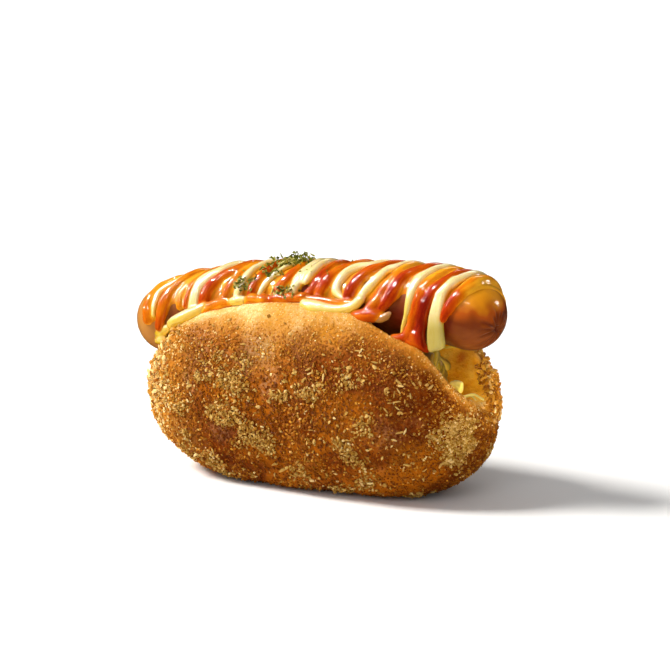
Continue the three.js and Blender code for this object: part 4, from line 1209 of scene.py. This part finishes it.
def make_salad():
    rng = np.random.default_rng(8)
    g = Grid((-72, -21, 35), (70, 21, 71), 1.05)
    X, Y, Z = g.points()
    P3 = np.stack([X, Y, Z], -1)
    top = (Z - salad_top(X, Y)) * 0.8 + 1.6 + 1.2 * noise(P3, 5.0, 1)
    ends = np.where(X > 0, X - salad_end(Y, Z, 1), -X - salad_end(Y, Z, -1)) + 1.6 + 1.2 * noise(P3, 4.0, 2)
    wall = slit_field(X, Y, Z) + 0.2
    F = smax(smax(top, ends, 4.0), wall, 1.0)
    D, _x = sausage_distance(P3.reshape(-1, 3).astype(float))
    F = np.maximum(F, 0.3 - D.reshape(X.shape))
    P, Q = nets(g, F.astype(np.float32))
    P, Q, _ = largest_shells(P, Q, 300)
    core = shred_material("salad_dressed", [(0.0, lin(112, 80, 6)), (0.5, lin(166, 132, 26)), (1.0, lin(208, 178, 66))])
    tone = 0.5 + 0.4 * noise(P, 3.0, 0)
    ob = mesh_object("salad_core", P, Q, True, {"tone": tone}, core)
    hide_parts("salad_filling")
    rows = []                                   # place, way, normal, length, width, thickness

    def add(p, d, nrm, L, w, h):
        p, d, nrm = (np.array(a, float) for a in (p, d, nrm))
        nrm /= np.linalg.norm(nrm)
        d = d - nrm * (d @ nrm)
        rows.append((p, d / np.linalg.norm(d), nrm, L, w, h))

    n = 0
    while n < 200:                              # along both gaps beside the sausage
        x = rng.uniform(-60, 50)
        s = rng.choice([-1, 1])
        z = salad_top(x, -6.0 * (s < 0)) - rng.uniform(-0.5, 2.5)
        y = s * rng.uniform(0.55, 0.97) * (vhalf(z) - 1.2)
        if s < 0 and x > 26:
            z = salad_top(x, y) - rng.uniform(0, 2.5)
        p = np.array([x, y, z])
        if sausage_distance(p[None])[0][0] < 0.6:
            continue
        add(p, (1, rng.uniform(-0.5, 0.5), rng.uniform(-0.35, 0.35)), (0, -0.2 * s, 1.0), min(rng.uniform(8, 22), 1.7 * (58 - x)), rng.uniform(1.5, 3.0), rng.uniform(0.6, 1.1))
        n += 1
    n = 0
    while n < 70:                               # the left end
        z = rng.uniform(40, 62)
        y = rng.uniform(-0.95, 0.95) * max(vhalf(z) - 1.2, 0.5)
        x = -(salad_end(y, z, -1) - 5 * max(0, (z - 56) / 10) ** 2 - rng.uniform(0, 2.5))
        p = np.array([x, y, z])
        if sausage_distance(p[None])[0][0] < 0.6:
            continue
        add(p, (rng.uniform(-0.3, 0.3), rng.uniform(-1, 1), rng.uniform(-0.8, 0.8)), (-1, 0, rng.uniform(0, 0.5)), rng.uniform(4, 10), rng.uniform(1.5, 3.2), rng.uniform(0.6, 1.1))
        n += 1
    n = 0
    while n < 9:                                # the right end: broader leaf strips, hanging down the heap's end
        z = rng.uniform(42, 56)
        y = rng.uniform(-0.92, 0.92) * max(vhalf(z) - 1.5, 0.5)
        x = salad_end(y, z, 1) - rng.uniform(0.0, 2.4)
        p = np.array([x, y, z])
        if sausage_distance(p[None])[0][0] < 0.8:
            continue
        add(p, (rng.uniform(0.1, 0.4), rng.uniform(-0.3, 0.3), -1), (1, rng.uniform(-0.5, 0.2), rng.uniform(0, 0.4)), rng.uniform(7, 13), rng.uniform(3.4, 6.0), rng.uniform(0.5, 0.9))
        n += 1
    # the pale stalk piece and loose shreds at the slit's mouth
    add((69.4, -1.0, 41.2), (1, 0.12, 0.20), (0, 0.1, 1), 9.0, 1.6, 0.9)
    add((66.8, 1.5, 40.0), (1, -0.25, 0.10), (0, 0.1, 1), 7.0, 1.3, 0.7)
    C, Dr, Nn, L, W, H = (np.array([r[k] for r in rows]) for k in range(6))
    n = len(C)
    V, F, T = ribbons(rng, C, Dr, Nn, L, W, H, np.column_stack([rng.uniform(-0.14, 0.14, n), rng.uniform(0.0, 0.16, n)]))
    per = len(V) // n
    T = T.reshape(n, per)
    # painted shade: the broad strips at the right end and the shreds right of x = 30 are toned darker, as they sit in
    # the slit's shade
    T[-9 - 2:-2] *= 0.3
    T[:200][C[:200, 0] > 30] *= 0.4
    T[-2:] = np.array([0.9, 0.8])[:, None]
    T = T.ravel()
    # keep every strip inside the slit and clear of the sausage
    lim = np.maximum(vhalf(np.maximum(V[:, 2], SLIT_FLOOR + 0.5)) - 0.5, 0.3)
    V[:, 1] = np.clip(V[:, 1], -lim, lim)
    V[:, 2] = np.maximum(V[:, 2], SLIT_FLOOR + 0.6)
    ds, ax = sausage_distance(V)
    q = V - axis(ax)
    push = ds < 0.25
    V[push] = axis(ax[push]) + q[push] / np.linalg.norm(q[push], axis=1, keepdims=True) * (R + 0.25)
    mat = shred_material("cabbage_shreds", [(0.0, lin(150, 112, 10)), (0.35, lin(184, 148, 34)), (0.7, lin(222, 192, 76)), (1.0, lin(248, 228, 136))])
    mesh_object("cabbage_shreds", V, F, True, {"tone": T}, mat)
    # one pale piece of stalk at the mouth, and smaller ones along the gaps
    v, f = icosphere(3)
    V, F, T = [], [], []
    bits = [(65.3, -6.4, 45.0, 2.5, 2.1, 2.5, 0.80), (-62.5, -3.5, 46.0, 1.7, 1.5, 2.0, 0.9), (-30.0, 15.2, 64.2, 2.0, 1.3, 1.3, 0.9),
            (22.0, 15.6, 66.0, 2.2, 1.4, 1.4, 0.85), (40.0, -11.6, 57.4, 1.8, 1.3, 1.3, 0.8)]
    for k, (x, y, z, rx, ry, rz, tn) in enumerate(bits):
        q = np.sign(v) * np.abs(v) ** 0.8 * np.array([rx, ry, rz]) * (1 + 0.16 * noise(v * 2.0 + 9 * k, 1.3, k)[:, None] + 0.08 * noise(v * 2.0 + 5 * k, 0.6, k + 1)[:, None])
        V.append(q + np.array([x, y, z]))
        F.append(f + k * len(v))
        T.append(np.full(len(v), tn))
    mesh_object("cabbage_stalk_bits", np.vstack(V), np.vstack(F), True, {"tone": np.concatenate(T)}, mat)


# ============================================================== parsley ===
def make_parsley(g, F):
    rng = np.random.default_rng(21)
    zones = [  # count, x, degrees, spreads, lift, size
        (170, -6.6, 12, 7.4, 9, 2.5, 1.45), (60, -5.0, 4, 6.4, 6, 3.2, 1.4), (74, -22.5, 56, 4.6, 11, 0.9, 1.3),
        (60, -12.5, 34, 4.6, 12, 1.0, 1.3), (44, -4.0, 70, 5.2, 8, 0.8, 1.3), (5, 18.5, 6, 1.2, 4, 0.5, 0.9),
        (4, 26.5, 5, 1.2, 4, 0.5, 0.9), (16, -30.0, 40, 9, 30, 0.2, 0.8), (12, 12.0, 40, 12, 26, 0.2, 0.8),
        (36, -5.0, -32, 8, 18, 0.6, 1.2), (10, -24.0, -40, 6, 16, 0.5, 1.0)]
    V, Fc, T = [], [], []
    k = 0
    for cnt, x0, t0, sx, st, lift, sz in zones:
        for _ in range(cnt):
            x = x0 + float(np.clip(rng.normal(), -1.7, 1.7)) * sx * 0.6
            th = math.radians(t0 + float(np.clip(rng.normal(), -1.7, 1.7)) * st * 0.6)
            rr = np.arange(R + 7.0, R - 0.1, -0.25)
            line = skin(np.full(len(rr), x), np.full(len(rr), th), rr)
            f = g.sample(F, line)
            hit = np.argmax(f < 0) if (f < 0).any() else len(rr) - 1
            base = line[hit]
            out = line[0] - line[-1]
            out /= np.linalg.norm(out)
            c = base + out * (0.15 + lift * rng.random() ** 1.6)
            s = sz * rng.uniform(0.6, 1.5)
            m = 6
            a = np.sort(rng.uniform(0, 2 * np.pi, m))
            a = np.linspace(0, 2 * np.pi, m, endpoint=False) + rng.uniform(-0.35, 0.35, m)
            r = s * 0.5 * rng.uniform(0.45, 1.15, m)
            pl = np.column_stack([r * np.cos(a) * 1.5, r * np.sin(a) * 0.62, 0.35 * s * (rng.uniform(-1, 1, m) * 0.45)])
            Rm = random_rotations(rng, 1)[0]
            top = pl @ Rm.T + c
            nv = Rm[:, 2] * 0.11
            ctr = c + Rm[:, 2] * 0.12 * s
            V.append(np.vstack([top + nv, ctr[None] + nv, top - nv, ctr[None] - nv]))
            j = np.arange(m)
            j2 = (j + 1) % m
            Fc.append(k + np.vstack([np.column_stack([j, j2, np.full(m, m)]),
                                     np.column_stack([m + 1 + j2, m + 1 + j, np.full(m, 2 * m + 1)]),
                                     np.column_stack([j, m + 1 + j, j2]), np.column_stack([j2, m + 1 + j, m + 1 + j2])]))
            T.append(np.full(2 * m + 2, rng.random()))
            k += 2 * m + 2
    m_, nt, b = material("dried_parsley")
    col = ramp(nt, attr(nt, "tone"), [(0.0, lin(64, 66, 10)), (0.3, lin(108, 112, 22)), (0.65, lin(166, 158, 50)), (1.0, lin(226, 208, 126))])
    n = tex(nt, "ShaderNodeTexNoise", 700, 2, 0.5).outputs["Fac"]
    col = mixc(nt, mathn(nt, "MULTIPLY", n, 0.25), col, lin(134, 140, 54))
    nt.links.new(col, b.inputs["Base Color"])
    b.inputs["Roughness"].default_value = 0.6
    b.inputs["Specular IOR Level"].default_value = 0.1
    bump(nt, b, n, 0.4, 0.0003)
    mesh_object("parsley_flakes", np.vstack(V), np.vstack(Fc), False, {"tone": np.concatenate(T)}, m_)


# ================================================================ stage ===
def make_stage():
    me = bpy.data.meshes.new("floor")
    s = 6.0
    me.from_pydata([(-s, -s, 0), (s, -s, 0), (s, s, 0), (-s, s, 0)], [], [(0, 1, 2, 3)])
    ob = bpy.data.objects.new("floor", me)
    bpy.context.scene.collection.objects.link(ob)
    m, nt, b = material("floor_white")
    b.inputs["Base Color"].default_value = (0.94, 0.94, 0.94, 1)
    b.inputs["Roughness"].default_value = 1.0
    b.inputs["Specular IOR Level"].default_value = 0.0
    me.materials.append(m)
    ob.visible_glossy = False

    world = bpy.data.worlds.new("studio")
    bpy.context.scene.world = world
    world.use_nodes = True
    bg = world.node_tree.nodes["Background"]
    bg.inputs[0].default_value = (1.0, 0.99, 0.975, 1)
    bg.inputs[1].default_value = 0.34
    world.cycles_visibility.glossy = False

    def aim(o, loc, target=(0, 0, 0.05)):
        o.location = loc
        o.rotation_euler = (Vector(target) - Vector(loc)).to_track_quat("-Z", "Y").to_euler()
        bpy.context.scene.collection.objects.link(o)

    def soft_sun(name, loc, strength, angle, color=(1, 1, 1)):
        l = bpy.data.lights.new(name, "SUN")
        l.energy = strength
        l.angle = math.radians(angle)
        l.color = color
        o = bpy.data.objects.new(name, l)
        o.visible_glossy = False
        aim(o, loc)

    def softbox(name, loc, size, size_y, power):
        l = bpy.data.lights.new(name, "AREA")
        l.energy = power
        l.shape = "RECTANGLE"
        l.size, l.size_y = size, size_y
        o = bpy.data.objects.new(name, l)
        o.visible_diffuse = False
        aim(o, loc)

    soft_sun("key_left", (-0.60, -0.35, 0.74), 4.3, 20, (1.0, 0.975, 0.93))
    soft_sun("fill_front", (0.20, -0.90, 0.60), 0.55, 40)
    # what the wet surfaces mirror
    softbox("box_left", (-0.50, -0.36, 0.80), 0.12, 0.11, 13.0)
    softbox("rod_left", (-0.72, -0.42, 0.52), 0.022, 0.30, 4.8)
    softbox("rod_high", (-0.22, -0.50, 0.92), 0.022, 0.30, 4.8)
    softbox("box_front", (0.15, -0.80, 0.85), 0.30, 0.03, 1.4)
    softbox("box_back", (-0.1, 0.75, 0.75), 0.5, 0.10, 1.2)
    softbox("box_right", (0.62, 0.50, 0.36), 0.10, 0.10, 0.7)
    low = bpy.data.lights.new("fill_low", "AREA")
    low.energy = 0.0050
    low.shape = "DISK"
    low.size = 0.02
    low.spread = math.radians(8.5)
    low.color = (1.0, 0.96, 0.88)
    lamp = bpy.data.objects.new("fill_low", low)
    lamp.visible_glossy = False
    aim(lamp, (0.37, -0.33, 0.050), (0.063, 0.012, 0.0455))

    cam = bpy.data.cameras.new("view")
    cam.sensor_fit = "HORIZONTAL"
    cam.sensor_width = 36.0
    cam.lens = 131.614
    cam.clip_start = 0.01
    cam.clip_end = 50
    o = bpy.data.objects.new("view", cam)
    az, el, roll = map(math.radians, (29.592, 11.315, 0.3912))
    back = Vector((math.sin(az) * math.cos(el), -math.cos(az) * math.cos(el), math.sin(el)))
    right = Vector((0, 0, 1)).cross(back).normalized()
    up = back.cross(right)
    r2 = math.cos(roll) * right + math.sin(roll) * up
    u2 = -math.sin(roll) * right + math.cos(roll) * up
    o.matrix_world = Matrix((
        (r2.x, u2.x, back.x, 0.466371 + SHIFT[0] * 0.001),
        (r2.y, u2.y, back.y, -0.804628),
        (r2.z, u2.z, back.z, 0.243170),
        (0, 0, 0, 1)))
    bpy.context.scene.collection.objects.link(o)
    bpy.context.scene.camera = o
    bpy.context.scene.view_settings.view_transform = "Standard"
    bpy.context.scene.view_settings.look = "None"


make_stage()
bun = make_bun()
make_crumbs(*bun)
make_sausage()
grid, sauce = make_sauces()
make_salad()
make_parsley(grid, sauce)
